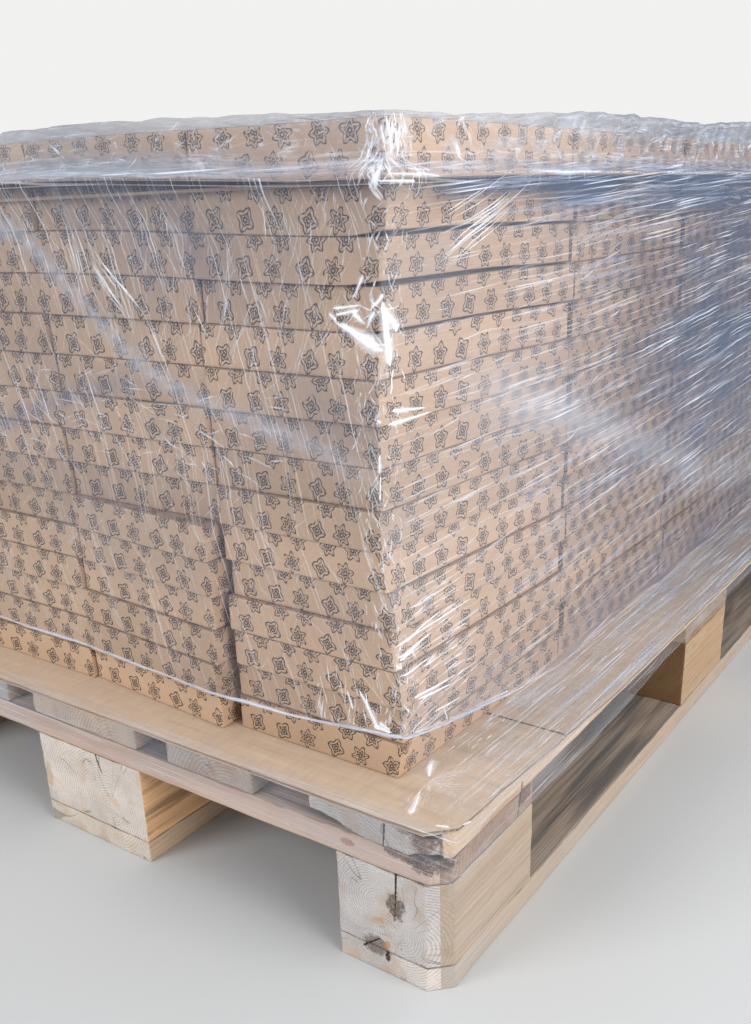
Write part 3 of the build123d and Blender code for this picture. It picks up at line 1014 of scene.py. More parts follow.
filmLook = {
    "low": (-0.5529, -0.3403),  # plan of the wrapped stack
    "high": (0.5589, 0.4043),
    "round": 0.006,
    "step": 0.0070,
    "fineStep": 0.0035,  # grid near the crumpled near corner
    "fineReach": 0.09,
    "cornerSteps": (-0.0055, -0.003, 0.0, 0.003, 0.0055),
    "gap": 0.0004,
    "kick": 0.0142,  # the second row of cartons stands out by this much
    "kickTop": 0.340,
    "kickFade": 0.060,
    "sheetLow": 0.5885,
    "sheetHigh": 0.5940,
    "sheetOut": 0.0118,
    "drop": 0.034,  # how far below the interlayer's edge the film leaves the cartons, and its wander
    "dropWander": 0.010,
    "texture": 0.00045,  # heights of the film's fine unevenness, its folds and its crumples
    "pulledFold": 0.0022,
    "hangingFold": 0.0021,
    "crumple": 0.0020,
    "crestCrumple": 0.0032,
    "footOut": 0.0075,  # how far the foot comes away from the cartons on the long sides
    "footHigh": 0.026,
    "topOutNear": -0.0055,  # the top cartons' side off the plan
    "topOutFar": 0.0050,
    "hemShort": 0.1865,
    "hemCorner": 0.1905,
    "hemFar": 0.1805,
    "hemLong": 0.1545,
    "hemSize": 0.0013,
    "crestLow": 0.6318,
    "crestShort": 0.6385,
    "crestLongWay": (0, 0.1, 0.2, 0.3, 0.4, 0.6, 0.7, 0.8, 0.95, 1.12),
    "crestLong": (
        0.6318, 0.6330, 0.6370, 0.6425, 0.6430, 0.6440, 0.6500, 0.6550, 0.6480, 0.6390,
    ),
    "wallLow": 0.200,
    "wallHigh": 0.607,
    "wallStep": 0.0085,
    "edgeRows": (0.5880, 0.5905, 0.5925, 0.5942, 0.5965, 0.5995, 0.603, 0.607),
    "lipRows": (0.0015, 0.004, 0.009, 0.016, 0.026, 0.038, 0.052, 0.068),
    "lipEnd": 0.6312,
}

filmLow, filmHigh = np.array(filmLook["low"]), np.array(filmLook["high"])


def ringTurns(low, high):
    # Ways from the near corner round a plan to its four other corners, the last one the whole turn
    wide, deep = high - low
    return np.array([wide, wide + deep, 2 * wide + deep, 2 * (wide + deep)])


filmTurns = ringTurns(filmLow, filmHigh)
filmWide, filmTurn = filmTurns[0], filmTurns[3]


def ringPlace(s, low, high, inward=0.0):
    # The plan of a film ring: s is the way round from the near corner, positive along the long near
    # side and negative along the short near side. Gives the point and the outward direction
    turns = ringTurns(low, high)
    s = np.mod(s, turns[3])
    x = np.interp(s, [0, *turns], [low[0], high[0], high[0], low[0], low[0]])
    y = np.interp(s, [0, *turns], [low[1], low[1], high[1], high[1], low[1]])
    flat = np.stack([x, y], -1)
    room = filmLook["round"] + inward
    out = flat - np.clip(flat, low + room, high - room)
    core = flat - out
    out /= np.maximum(np.linalg.norm(out, axis=1, keepdims=True), 1e-9)
    return core + out * filmLook["round"], out


def nearness(s):
    # Signed way from the near corner, negative on the short near side
    s = np.mod(s, filmTurn)
    return np.where(s > filmTurn / 2, s - filmTurn, s)


def sideOf(s):
    # 0 long near side, 1 far short side, 2 far long side, 3 short near side
    return np.searchsorted(filmTurns[:3], np.mod(s, filmTurn), side="right")


def onLong(s):
    # True on the two long sides
    return sideOf(s) % 2 == 0


def crestHeight(s):
    # The film's top rim: low at the near corner, with slow waves and small crumples
    look = filmLook
    way = np.abs(nearness(s))
    line = np.stack([s, 0 * s], -1)
    long = np.interp(way, look["crestLongWay"], look["crestLong"])
    short = look["crestLow"] + (look["crestShort"] - look["crestLow"]) * smoothStep(0.0, 0.30, way)
    wave = 0.0012 * swell(line, 61, 0.33) + 0.0008 * swell(line, 62, 0.05)
    return np.where(sideOf(s) == 0, long, short) + wave * smoothStep(0.0, 0.1, way)


def hemHeight(s):
    # The rolled foot of the film: high on the short sides, down to the sheet on the long ones
    look = filmLook
    way = nearness(s)
    side = sideOf(s)
    along = np.mod(s, filmTurn) - np.where(side == 2, filmTurns[1], 0)
    fromEnd = np.minimum(along, filmWide - along)
    down = np.where(onLong(s), np.interp(fromEnd, [0, 0.06, 0.16, 0.25], [0, 0.45, 0.84, 1]), 0.0)
    rise = smoothStep(0.0, 0.11, np.maximum(-way, 0.0))
    short = look["hemCorner"] + (look["hemShort"] - look["hemCorner"]) * rise
    short = np.where((side == 1) | (np.abs(way) > 1.0), look["hemFar"], short)
    wave = 0.0007 * swell(np.stack([s, 0 * s], -1), 63, 0.12)
    return short + (look["hemLong"] - short) * down + wave


def filmOffset(s, z):
    # How far the film stands off the plan: the kicked row, the tent under the interlayer, its edge,
    # the way in to the top cartons, and folds that only ever lift it outwards
    look = filmLook
    way = nearness(s)
    side = sideOf(s)
    long = onLong(s)
    plane = np.stack([s, z], -1)
    kickSide = np.interp(-way, [0, 0.180, 0.195, 0.373, filmTurns[1] - filmWide], [0, 1, 1, 0.08, 0])
    kickHigh = np.clip(1 - (z - look["kickTop"]) / look["kickFade"], 0, 1)
    kick = look["kick"] * kickSide * (side == 3) * kickHigh
    drop = look["drop"] + look["dropWander"] * swell(np.stack([s, 0 * s], -1), 64, 0.2)
    tent = np.clip((z - look["sheetLow"] + drop) / drop, 0, 1) ** 1.25
    topOut = np.where((side == 0) | (side == 3), look["topOutNear"], look["topOutFar"])
    inward = smoothStep(look["sheetHigh"], look["sheetHigh"] + 0.013, z)
    shape = look["sheetOut"] * tent * (1 - inward) + topOut * inward
    # long folds along the pull on the long sides, a fan of hanging ones on the short sides
    pulled = ridges(np.stack([s * 0.16, z + 0.05 * s], -1), 66, 0.030, 1.6)
    hanging = ridges(np.stack([s - 0.35 * (0.6 - z), z * 0.10], -1), 67, 0.028, 1.5)
    folds = look["pulledFold"] * pulled * long * smoothStep(0.02, 0.5, np.abs(way))
    folds = folds + look["hangingFold"] * hanging * ~long * smoothStep(0.36, 0.56, z)
    # crumples at the near corner and in the crest
    crumple = np.clip(0.5 + 0.5 * swell(plane, 68, 0.011), 0, 1.4) * hill(way, 0, 0.022)
    topCrumple = np.clip(0.5 + 0.5 * swell(plane * (1.0, 1.2), 69, 0.023), 0, 1.4)
    lift = look["texture"] * (1 + swell(plane, 65, 0.030)) + folds
    lift = lift + look["crumple"] * crumple * (z < 0.587)
    lift = lift + look["crestCrumple"] * topCrumple * smoothStep(0.603, 0.612, z)
    lift = lift * (1 - 0.85 * hill(z, look["sheetLow"] + 0.0025, 0.006))
    # the foot comes away from the cartons on the long sides
    foot = look["footOut"] * long * np.clip(1 - (z - 0.152) / look["footHigh"], 0, 1) ** 2
    return look["gap"] + kick + shape + lift + foot * smoothStep(0.0, 0.10, np.abs(way))


def sleevePoint(s, z, extra=0.0):
    # A point of the sleeve's wall, `extra` outside it
    flat, out = ringPlace(s, filmLow, filmHigh)
    flat = flat + out * np.reshape(filmOffset(s, z) + extra, (-1, 1))
    return settle(np.column_stack([flat, z]))


def ringLines(turns):
    # Places round the film: even, and closer near the first corner and at every corner
    look = filmLook
    reach = look["fineReach"]
    even = np.arange(reach, turns[3] - reach, look["step"])
    fine = np.arange(-reach, reach, look["fineStep"])
    tight = np.add.outer(look["cornerSteps"], [0, *turns[:3]]).ravel()
    return np.unique(np.round(np.mod(np.concatenate([even, fine, tight]), turns[3]), 5))


def ringQuads(around, rows):
    # Faces of a closed ring: `rows` lines of points, each `around` long
    index = np.arange(around * rows).reshape(rows, around)
    right = np.roll(index, -1, axis=1)
    return np.stack([index[:-1], right[:-1], right[1:], index[1:]], -1).reshape(-1, 4)


def ringUvs(s, v, quads):
    # UV of every face corner of a ring, with its last face carried past its end
    values = np.stack([s, v], -1)[quads]
    wrap = values[..., 0].max(axis=1) - values[..., 0].min(axis=1) > 1.0
    values[..., 0] += np.where(wrap[:, None] & (values[..., 0] < 1.0), filmTurn, 0.0)
    return values


# Haze of the film: the two bands across the short side and the cloud along the long one as lines of
# Y or way and height, each with its strength and half height
veilLook = {
    "highY": (-0.35, -0.320, -0.280, -0.212, -0.148, -0.099, -0.046, -0.030, 0.05),
    "highZ": (0.385, 0.399, 0.411, 0.425, 0.439, 0.455, 0.489, 0.503, 0.56),
    "high": 0.46,
    "highHalf": 0.0075,
    "lowY": (-0.074, -0.029, 0.049, 0.115, 0.35),
    "lowZ": (0.448, 0.438, 0.419, 0.395, 0.36),
    "low": 0.32,
    "lowHalf": 0.0080,
    "cloudWay": (0.05, 0.16, 0.25, 0.34, 0.45, 0.66, 0.90),
    "cloudZ": (0.440, 0.427, 0.403, 0.373, 0.336, 0.250, 0.200),
    "cloud": 0.24,
    "cloudHalf": 0.024,
    "underSheet": 0.62,
    "sheetEdge": 0.24,
    "crestPatches": 0.26,
    "sagShort": 0.42,
    "sagLong": 0.12,
    "rim": 0.12,
}


def cloudOf(way, z):
    # The pale cloud that crosses the long side: its height there, and how far inside it a place is
    look = veilLook
    height = np.interp(way, look["cloudWay"], look["cloudZ"])
    return height, hill(z, height, look["cloudHalf"]) * smoothStep(0.06, 0.20, way)


def veilOf(s, z):
    # How hazy the film is: thin near the corner and the foot, thicker to the right, below the
    # interlayer's edge, in two bands that cross the short side, and where layers overlap
    look = veilLook
    way = nearness(s)
    plane = np.stack([s, z], -1)
    patchy = 0.5 + 0.5 * swell(plane * (0.5, 1.0), 71, 0.16)
    y = filmLow[1] - way
    foot = smoothStep(0.19, 0.40, z)
    left = 0.04 + 0.07 * patchy + (0.10 + 0.14 * patchy) * foot + 0.08 * smoothStep(0.46, 0.57, z)
    high = hill(z, np.interp(y, look["highY"], look["highZ"]), look["highHalf"])
    low = hill(z, np.interp(y, look["lowY"], look["lowZ"]), look["lowHalf"])
    left = left + look["high"] * high * smoothStep(-0.34, -0.24, y)
    left = left + look["low"] * low * smoothStep(-0.10, -0.06, y)
    # painted shade: with the dark `deep` tint, the haze thickens away from the corner
    farHazeAndShade = 0.08 + 0.38 * smoothStep(0.06, 0.60, way)
    right = 0.11 + 0.12 * patchy + farHazeAndShade * (0.45 + 0.55 * foot)
    cloudZ, cloud = cloudOf(way, z)
    right = right + look["cloud"] * cloud
    # painted shade: dark haze far along the long side, between the cloud and the band under the interlayer
    right = right + 0.22 * smoothStep(0.40, 0.75, way) * smoothStep(cloudZ, cloudZ + 0.05, z) * (z < 0.594)
    overlap = 0.5 + 0.5 * np.tanh((0.40 + 0.10 * way - z) / 0.006)
    right = right + 0.07 * overlap * smoothStep(0.15, 0.5, way) * foot
    # dense film under the interlayer's edge, which `deep` paints dark: painted shade and reflection
    under = smoothStep(-0.003, 0.003, z - 0.5795 + 0.018 * smoothStep(0.03, 0.55, way))
    under = under * smoothStep(0.5920, 0.5895, z)
    right = right + look["underSheet"] * under * smoothStep(0.01, 0.08, way)
    # pale patches in the crest: crumpled haze, partly painted soft highlights
    patches = smoothStep(-0.2, 0.8, swell(plane * (1.0, 2.0), 77, 0.045)) * smoothStep(0.600, 0.610, z)
    right = right * (1 - 0.40 * smoothStep(0.594, 0.602, z)) + look["crestPatches"] * patches
    long = onLong(s)
    veil = np.where(long, right, left) + look["sheetEdge"] * hill(z, 0.5985, 0.0045)
    sag = smoothStep(0.593, 0.597, z) * smoothStep(0.619, 0.608, z) * smoothStep(0.03, 0.25, np.abs(way))
    veil = veil + np.where(long, look["sagLong"], look["sagShort"]) * sag
    return np.clip(veil + look["rim"] * smoothStep(0.6235, 0.6275, z), 0, 1)


def paintedShadeAndReflectionOf(s, z):
    # Where the film is painted dark blue, as painted shade and a painted reflection of the dark side of a
    # room: away along the long sides, in the hollow under the interlayer's edge, and on the short sides,
    # but less in the pale bands and the crest
    look = veilLook
    way = nearness(s)
    under = smoothStep(0.560, 0.574, z) * (z < 0.591) * smoothStep(0.01, 0.06, way)
    long = 0.35 + 0.65 * smoothStep(0.05, 0.50, way) + 0.60 * under - 0.40 * cloudOf(way, z)[1]
    band = hill(z, np.interp(filmLow[1] - way, look["highY"], look["highZ"]), 0.010)
    short = 0.80 - 0.34 * smoothStep(0.592, 0.596, z) - 0.55 * band
    crest = smoothStep(0.600, 0.608, z) * (sideOf(s) == 0)
    return np.clip(np.where(onLong(s), long, short) - 0.35 * crest, 0, 1)


def pullOf(s, z):
    # Along and across the pull of the film: level on the long sides, hanging on the short ones
    level = onLong(s) | (z > 0.595)
    bend = 0.0024 * swell(np.stack([s, z], -1), 75, 0.09) * smoothStep(0.603, 0.612, z)
    along = np.where(level, s * np.where(z > 0.604, 4.0, 1.0), z + 0.2 * s)
    across = np.where(level, z - 0.055 * nearness(s) + bend, s + 0.30 * z)
    return np.stack([along, across, 0 * s], -1)


clearLook = {
    "thin": 0.050,  # opacity where nothing else adds to it
    "tint": (0.60, 0.63, 0.71, 1),
    # painted shade and reflection: the dark blue that `deep` mixes into the film's colour
    "paintedShadeAndReflectionTint": (0.078, 0.108, 0.185, 1),
    # the fine lines' painted highlight: its colour and its share of opacity
    "paintedLineHighlightTint": (0.90, 0.93, 1.0, 1),
    "paintedLineHighlightShare": 0.34,
    "rimShare": 0.30,
    # painted highlights of the folds: their white, and the blue they turn
    "paintedHighlightTint": (0.97, 0.98, 1.0, 1),
    "paintedHighlightBlue": (0.45, 0.54, 0.74, 1),
}


def filmMaterial():
    # Clear stretch film: nearly invisible head on, milky where `veil` is high, with fine white
    # lines along the pull as painted highlights, painted shade and reflection where `deep` is high,
    # and gloss from its folds
    look = clearLook
    material, n, shader = newMaterial("stretchFilm")
    pull = n.field("pull", "Vector")
    deep = n.field("deep")
    height = n.split(n.make("UVMap", {}, 0, uv_map="surface"))[1]
    fine = n.streaks(pull, (7, 520, 1), 1.0, 0.6)
    # the fine lines along the pull are painted highlights: white colour and more opacity
    line = n.step(fine, 0.57, 0.72) * n.step(height, 0.600, 0.612, 1.0, 0.5)
    patch = n.streaks(pull, (9, 26, 1), 1.0, 0.5)
    facing = n.make("LayerWeight", {"Blend": 0.25}, "Facing")
    lines = line * (n.step(patch, 0.35, 0.62) * (look["paintedLineHighlightShare"] - deep * 0.14))
    alpha = n.field("veil") * (patch * 0.7 + 0.50) + look["thin"] + lines
    alpha = n.math("ADD", alpha, n.math("POWER", facing, 3.0) * look["rimShare"], clamp=True)
    # `deep` mixes in the dark blue: painted shade and a painted reflection of a dark room
    shade = n.mix(deep, look["tint"], look["paintedShadeAndReflectionTint"])
    n.put(shader["Alpha"], alpha * n.field("strength"))
    n.put(shader["Base Color"], n.mix(line, shade, look["paintedLineHighlightTint"]))
    n.put(shader["Roughness"], n.step(height, 0.598, 0.612, 0.22, 0.32))
    n.put(shader["Normal"], n.bump(fine, 0.4, 0.0015))
    return material


def paintedHighlightMaterial():
    # The bright folds of the film, painted as highlights: white and glossy, fading out at their edges
    look = clearLook
    material, n, shader = newMaterial("paintedFoldHighlight")
    rim = n.step(n.field("rim"), 0.02, 0.45)
    n.put(shader["Alpha"], n.math("MULTIPLY", n.field("fade"), rim, clamp=True))
    n.put(shader["Base Color"], n.mix(n.field("blue"), look["paintedHighlightTint"], look["paintedHighlightBlue"]))
    n.put(shader["Roughness"], 0.14)
    return material


stretchFilm = filmMaterial()
paintedFoldHighlight = paintedHighlightMaterial()


def buildSleeve():
    # The wall from its rolled foot to the crest, then the lip that falls in over the top cartons:
    # rows of points round the load, each with its UV height
    look = filmLook
    s = ringLines(filmTurns)
    hem, crest = hemHeight(s), crestHeight(s)
    low, high = look["wallLow"], look["wallHigh"]
    rows = [hem + (low - hem) * part for part in np.linspace(0, 1, 7)[:-1]]
    rows += [height + 0 * s for height in (*np.arange(low, 0.586, look["wallStep"]), *look["edgeRows"])]
    rows += [high + (crest - high) * part for part in np.linspace(0, 1, 8)[1:]]
    points = [sleevePoint(s, z) for z in rows]
    lipWide = look["lipRows"][-1]
    for inward in look["lipRows"]:
        part = inward / lipWide
        flat, out = ringPlace(s, filmLow, filmHigh, inward)
        flat = flat + out * filmOffset(s, crest)[:, None] * (1 - part)
        z = crest + 0.0006 * math.sin(inward * 400) - (crest - look["lipEnd"]) * smoothStep(0, 1, part**0.7)
        z = z + 0.0011 * (1 + swell(np.column_stack([flat, s]), 73, 0.03)) * math.sin(math.pi * part)
        points.append(settle(np.column_stack([flat, z])))
        rows.append(0.64 + inward + 0 * s)
    quads = ringQuads(len(s), len(rows))
    mesh = makeMesh("wrapSleeve", np.concatenate(points), quads)
    u, v = np.tile(s, len(rows)), np.concatenate(rows)
    setUv(mesh, ringUvs(u, v, quads))
    setFields(mesh, veil=veilOf(u, v), deep=paintedShadeAndReflectionOf(u, v), pull=pullOf(u, v), strength=1 + 0 * u)
    addPiece("wrap_sleeve_film", mesh, stretchFilm, "stretch_film", "wrap_sleeve")


def buildHem():
    # The rolled, slightly twisted foot of the sleeve: a lumpy section carried round the load
    s = ringLines(filmTurns)
    centre = sleevePoint(s, hemHeight(s), 0.0012)
    out = ringPlace(s, filmLow, filmHigh)[1]
    around, sides = len(s), 9
    order = np.arange(around)
    line = np.column_stack([order * 0.01, 0 * s])
    lump = filmLook["hemSize"] * (1 + 0.30 * swell(line, 81, 0.12))
    points = []
    for angle in np.linspace(0, tau, sides, endpoint=False):
        radius = lump * (1 + 0.22 * np.sin(3 * angle + order * 0.35))
        sideways = out * (np.cos(angle) * radius)[:, None]
        points.append(centre + np.column_stack([sideways, np.sin(angle) * radius]))
    index = np.arange(around * sides).reshape(sides, around)
    right = np.roll(index, -1, axis=1)
    corners = [index, right, np.roll(right, -1, axis=0), np.roll(index, -1, axis=0)]
    mesh = makeMesh("wrapHem", np.concatenate(points), np.stack(corners, -1).reshape(-1, 4))
    # the roll is painted white as a highlight, brighter on the short near side and at the corner
    shine = 0.50 - 0.38 * smoothStep(0.10, 0.35, nearness(s))
    fade = shine * (0.85 + 0.15 * swell(line, 82, 0.2))
    blue = 0.55 + 0.25 * swell(line, 83, 0.3)
    setFields(mesh, fade=np.tile(fade, sides), rim=np.ones(around * sides), blue=np.tile(blue, sides))
    addPiece("wrap_sleeve_hem", mesh, paintedFoldHighlight, "stretch_film", "wrap_sleeve")


skirtLook = {
    "low": (-0.6026, -0.4156),
    "high": (0.6026, 0.4156),
    "bottom": 0.1045,
    "bottomLong": 0.1175,
    "bottomRise": 0.012,  # how much higher the foot is away from the near corner, on the long sides
    "top": 0.1496,
    "tuckRows": (0.0015, 0.004, 0.009, 0.016),
    # share of the painted dark tint, shade and reflection, in the skirt's film
    "deep": 0.15,
    "wallTop": 0.215,
    "outerY": 0.4150,
    "nearOut": 0.0085,  # the load's foot, where the apron meets it
    "farOut": 0.0055,
    "ripple": 0.0013,  # height of the apron's folds, and how much it rises to the load's foot
    "arch": 0.0030,
}


def buildSkirtBand():
    # The film round the deck's edge, turned in a little over the slip sheets
    look = skirtLook
    low, high = np.array(look["low"]), np.array(look["high"])
    turns = ringTurns(low, high)
    s = ringLines(turns)
    line = np.stack([s, 0 * s], -1)
    wide, far, back, turn = turns
    ways = [0, wide, wide + 0.02, far - 0.02, far, back, back + 0.03, turn - 0.03, turn]
    long = np.interp(s, ways, [1, 1, 0, 0, 1, 1, 0, 0, 1])
    foot = look["bottom"] + (look["bottomLong"] - look["bottom"]) * long
    foot = foot + look["bottomRise"] * long * smoothStep(0.22, 0.45, np.minimum(s, turn - s))
    foot = foot + 0.0020 * (1 + swell(line, 91, 0.45)) + 0.0006 * swell(line, 92, 0.06)
    flat, out = ringPlace(s, low, high)
    points, veils, strengths, heights = [], [], [], []
    for part in np.linspace(0, 1, 9):
        z = foot + (look["top"] - foot) * part
        fold = 0.0004 * swell(np.stack([s * 0.15, z], -1), 93, 0.01)
        fold = fold - 0.0004 - 0.0007 * math.sin(math.pi * part)
        points.append(np.column_stack([flat + out * fold[:, None], z]))
        haze = 0.10 + 0.08 * swell(np.stack([s * 0.3, z], -1), 94, 0.04)
        veils.append(haze + 0.12 * math.exp(-part / 0.06))
        strengths.append(1 + 0 * s)
        heights.append(z)
    for inward in look["tuckRows"]:
        flat, out = ringPlace(s, low, high, inward)
        z = look["top"] + 0.0009 * math.sin(math.pi * min(1, inward / 0.008)) + 0.0002 + 0 * s
        points.append(np.column_stack([flat - out * 0.0004, z]))
        veils.append(0.25 + 0 * s)
        strengths.append(1 - inward / look["tuckRows"][-1] + 0 * s)
        heights.append(look["top"] + inward + 0 * s)
    quads = ringQuads(len(s), len(points))
    mesh = makeMesh("wrapSkirt", np.concatenate(points), quads)
    u, v = np.tile(s, len(points)), np.concatenate(heights)
    setUv(mesh, ringUvs(u, v, quads))
    setFields(
        mesh,
        veil=np.clip(np.concatenate(veils), 0, 1),
        deep=look["deep"] + 0 * u,
        pull=np.stack([u, v, 0 * u], -1),
        strength=np.concatenate(strengths),
    )
    addPiece("wrap_skirt_band", mesh, stretchFilm, "stretch_film", "wrap_skirt")


def apronPoint(side, a, t, extra=0.0):
    # The film over a long side's slip sheet: a runs along it from 0 to 1, t from the sheet's edge
    # (0) to the load's foot (1) and on up the lowest cartons (past 1)
    look = skirtLook
    reach = np.clip(t, 0, 1)
    rise = np.clip(t - 1, 0, None)
    outerX = look["low"][0] + 0.004 + (look["high"][0] - look["low"][0] - 0.008) * a
    innerX = filmLow[0] + 0.002 + (filmHigh[0] - filmLow[0] - 0.004) * a
    innerY = filmLow[1] - look["nearOut"] if side < 0 else filmHigh[1] + look["farOut"]
    outerY = side * look["outerY"]
    x = outerX + (innerX - outerX) * reach
    y = outerY + (innerY - outerY) * reach - side * 0.006 * np.clip(rise / 0.5, 0, 1)
    if side < 0:
        y = y + drawnIn(x, filmLow[1], look["top"] + rise * 0.065) * reach
    ripple = 0.0010 + look["ripple"] * ridges(np.stack([x * 0.10, y], -1), 95, 0.018, 1.5)
    z = look["top"] + 0.0007 + ripple * np.sin(math.pi * reach) + look["arch"] * reach**6
    z = z + rise * (look["wallTop"] - look["top"])
    return np.column_stack([x, y, z + extra])


def buildAprons():
    # Film over both long edges of the slip sheets up to the load
    a = np.linspace(0, 1, 220)
    t = np.concatenate([np.linspace(0, 1, 15), np.linspace(1, 2, 11)[1:]])
    gridA, gridT = (grid.ravel() for grid in np.meshgrid(a, t, indexing="ij"))
    quads = gridQuads(np.arange(len(gridA)).reshape(len(a), len(t)))
    ends = smoothStep(0, 0.02, gridA) * smoothStep(0, 0.02, 1 - gridA)
    for side, name, faces in ((-1, "near", quads), (1, "far", quads[:, ::-1])):
        points = apronPoint(side, gridA, gridT)
        x, y, z = points.T
        haze = 0.05 + 0.07 * swell(np.stack([x * 0.2, y], -1), 96, 0.03)
        mesh = makeMesh("wrapApron", points, faces)
        setUv(mesh, np.stack([x, gridT * 0.07], -1)[faces])
        setFields(
            mesh,
            # painted shade: toward the far end the apron's film is denser and painted darker
            veil=np.clip(haze + 0.42 * smoothStep(-0.35, 0.2, x), 0, 1),
            deep=skirtLook["deep"] + 0.8 * smoothStep(-0.35, 0.25, x),
            pull=np.stack([x, y + z + 0.03 * x, 0 * x], -1),
            strength=(1 - smoothStep(1.1, 2.0, gridT)) * (0.4 + 0.6 * ends),
        )
        addPiece("wrap_skirt_apron_" + name, mesh, stretchFilm, "stretch_film", "wrap_skirt")


# Groups of bright folds on the sleeve, painted as highlights. Each row: count; then from and to of the way
# round and the height they start at, the angle in degrees, the length, the half width, the brightness and
# the blueness
foldHighlightGroups = [
    (9, -0.328, -0.316, 0.555, 0.588, -79, -70, 0.04, 0.085, 0.0004, 0.0013, 0.5, 1.0, 0, 0.15),
    (10, -0.300, -0.286, 0.528, 0.550, -50, -40, 0.03, 0.085, 0.0004, 0.0013, 0.5, 1.0, 0, 0.15),
    (5, -0.240, -0.228, 0.480, 0.495, -72, -62, 0.02, 0.05, 0.0004, 0.0012, 0.5, 1.0, 0, 0.15),
    (16, -0.400, -0.100, 0.50, 0.59, -80, -60, 0.02, 0.09, 0.0003, 0.0008, 0.3, 0.7, 0, 0.3),
    (170, -0.735, -0.03, 0.566, 0.590, -106, -76, 0.008, 0.032, 0.0002, 0.0006, 0.3, 0.8, 0, 0.3),
    (110, -0.735, -0.28, 0.50, 0.592, -88, -55, 0.015, 0.10, 0.0004, 0.0010, 0.15, 0.40, 0, 0.5),
    (70, -0.280, -0.14, 0.50, 0.592, -104, -78, 0.015, 0.09, 0.0004, 0.0010, 0.14, 0.38, 0, 0.5),
    (70, -0.140, -0.01, 0.50, 0.592, -128, -96, 0.015, 0.08, 0.0004, 0.0010, 0.15, 0.42, 0, 0.4),
    (380, -0.735, -0.01, 0.20, 0.58, -150, -30, 0.01, 0.09, 0.0004, 0.0010, 0.10, 0.30, 0, 0.6),
    (90, -0.50, -0.10, 0.38, 0.45, -60, 20, 0.01, 0.06, 0.0005, 0.0012, 0.3, 0.7, 0.1, 0.6),
    (14, -0.040, 0.006, 0.475, 0.528, -80, 60, 0.010, 0.030, 0.0003, 0.0008, 0.6, 1.0, 0, 0.05),
    (460, -0.022, 0.022, 0.19, 0.628, -125, -50, 0.004, 0.022, 0.0003, 0.0009, 0.25, 0.85, 0, 0.4),
    (190, -0.018, 0.026, 0.598, 0.634, -120, -55, 0.005, 0.020, 0.0003, 0.0011, 0.35, 1.0, 0, 0.4),
    (300, 0.08, 1.11, 0.17, 0.585, 0, 9, 0.06, 0.34, 0.0010, 0.0036, 0.08, 0.30, 0.3, 1.0),
    (330, 0.12, 1.11, 0.17, 0.585, 0, 9, 0.05, 0.30, 0.0004, 0.0013, 0.10, 0.36, 0.2, 1.0),
    (150, 0.02, 0.35, 0.17, 0.56, -2, 14, 0.02, 0.12, 0.0005, 0.0013, 0.2, 0.6, 0, 0.6),
    (7, 0.055, 0.075, 0.532, 0.545, 21, 27, 0.09, 0.14, 0.0005, 0.0014, 0.75, 1.0, 0, 0.2),
    (8, 0.045, 0.085, 0.555, 0.567, 16, 24, 0.05, 0.10, 0.0004, 0.0010, 0.6, 0.9, 0, 0.2),
    (64, -0.002, 0.075, 0.180, 0.300, -2, 12, 0.015, 0.075, 0.0004, 0.0011, 0.5, 1.0, 0, 0.2),
    (46, -0.080, -0.004, 0.190, 0.262, -105, -70, 0.008, 0.034, 0.0003, 0.0009, 0.4, 0.9, 0, 0.2),
    (110, 0.03, 1.11, 0.562, 0.590, -1, 3, 0.06, 0.40, 0.0005, 0.0016, 0.15, 0.5, 0.6, 1.0),
    (130, 0.0, 1.11, 0.595, 0.604, -1, 2, 0.04, 0.25, 0.0006, 0.0022, 0.15, 0.55, 0.3, 1.0),
    (110, -0.735, 0.0, 0.595, 0.607, -3, 3, 0.03, 0.2, 0.0006, 0.0018, 0.15, 0.45, 0.1, 0.6),
    (190, 0.06, 1.11, 0.602, 0.636, -130, 60, 0.006, 0.032, 0.0006, 0.0034, 0.12, 0.65, 0, 0.6),
    (110, -0.735, -0.02, 0.606, 0.632, -130, 40, 0.006, 0.040, 0.0006, 0.0018, 0.2, 0.6, 0.1, 0.8),
    (260, 1.13, 1.84, 0.19, 0.58, -150, -30, 0.01, 0.10, 0.0004, 0.0014, 0.2, 0.6, 0, 0.6),
    (420, 1.87, 2.95, 0.17, 0.585, -9, 2, 0.05, 0.32, 0.0005, 0.0016, 0.15, 0.55, 0.1, 0.9),
    (240, 1.12, 2.95, 0.595, 0.630, -40, 40, 0.01, 0.10, 0.0006, 0.0022, 0.3, 0.85, 0, 0.6),
]

# The same on the near apron: first along it, then across it
apronHighlightGroups = [
    (420, 0.02, 0.98, 0.02, 1.0, -1.5, 2.5, 0.03, 0.20, 0.003, 0.012, 0.12, 0.5, 0.1, 0.9),
    (26, 0.04, 0.16, 0.75, 1.05, -3, 3, 0.01, 0.04, 0.002, 0.008, 0.3, 0.8, 0, 0.3),
]

# The same on the slip sheet, in X and Y: fine bright lines that spread from the place where the film is
# pulled down to the sheet's corner, and the glints beyond it, all painted highlights
cornerHighlightGroups = [
    (60, -0.5445, -0.5425, -0.3540, -0.3520, 185, 355, 0.006, 0.050, 0.0002, 0.0005, 0.2, 0.65, 0, 0.3),
    (16, -0.5850, -0.5500, -0.3640, -0.3500, 185, 215, 0.006, 0.020, 0.0002, 0.0005, 0.3, 0.8, 0, 0.3),
    (40, -0.5950, -0.4700, -0.4120, -0.3500, -30, 60, 0.010, 0.045, 0.0003, 0.0007, 0.15, 0.45, 0, 0.5),
]
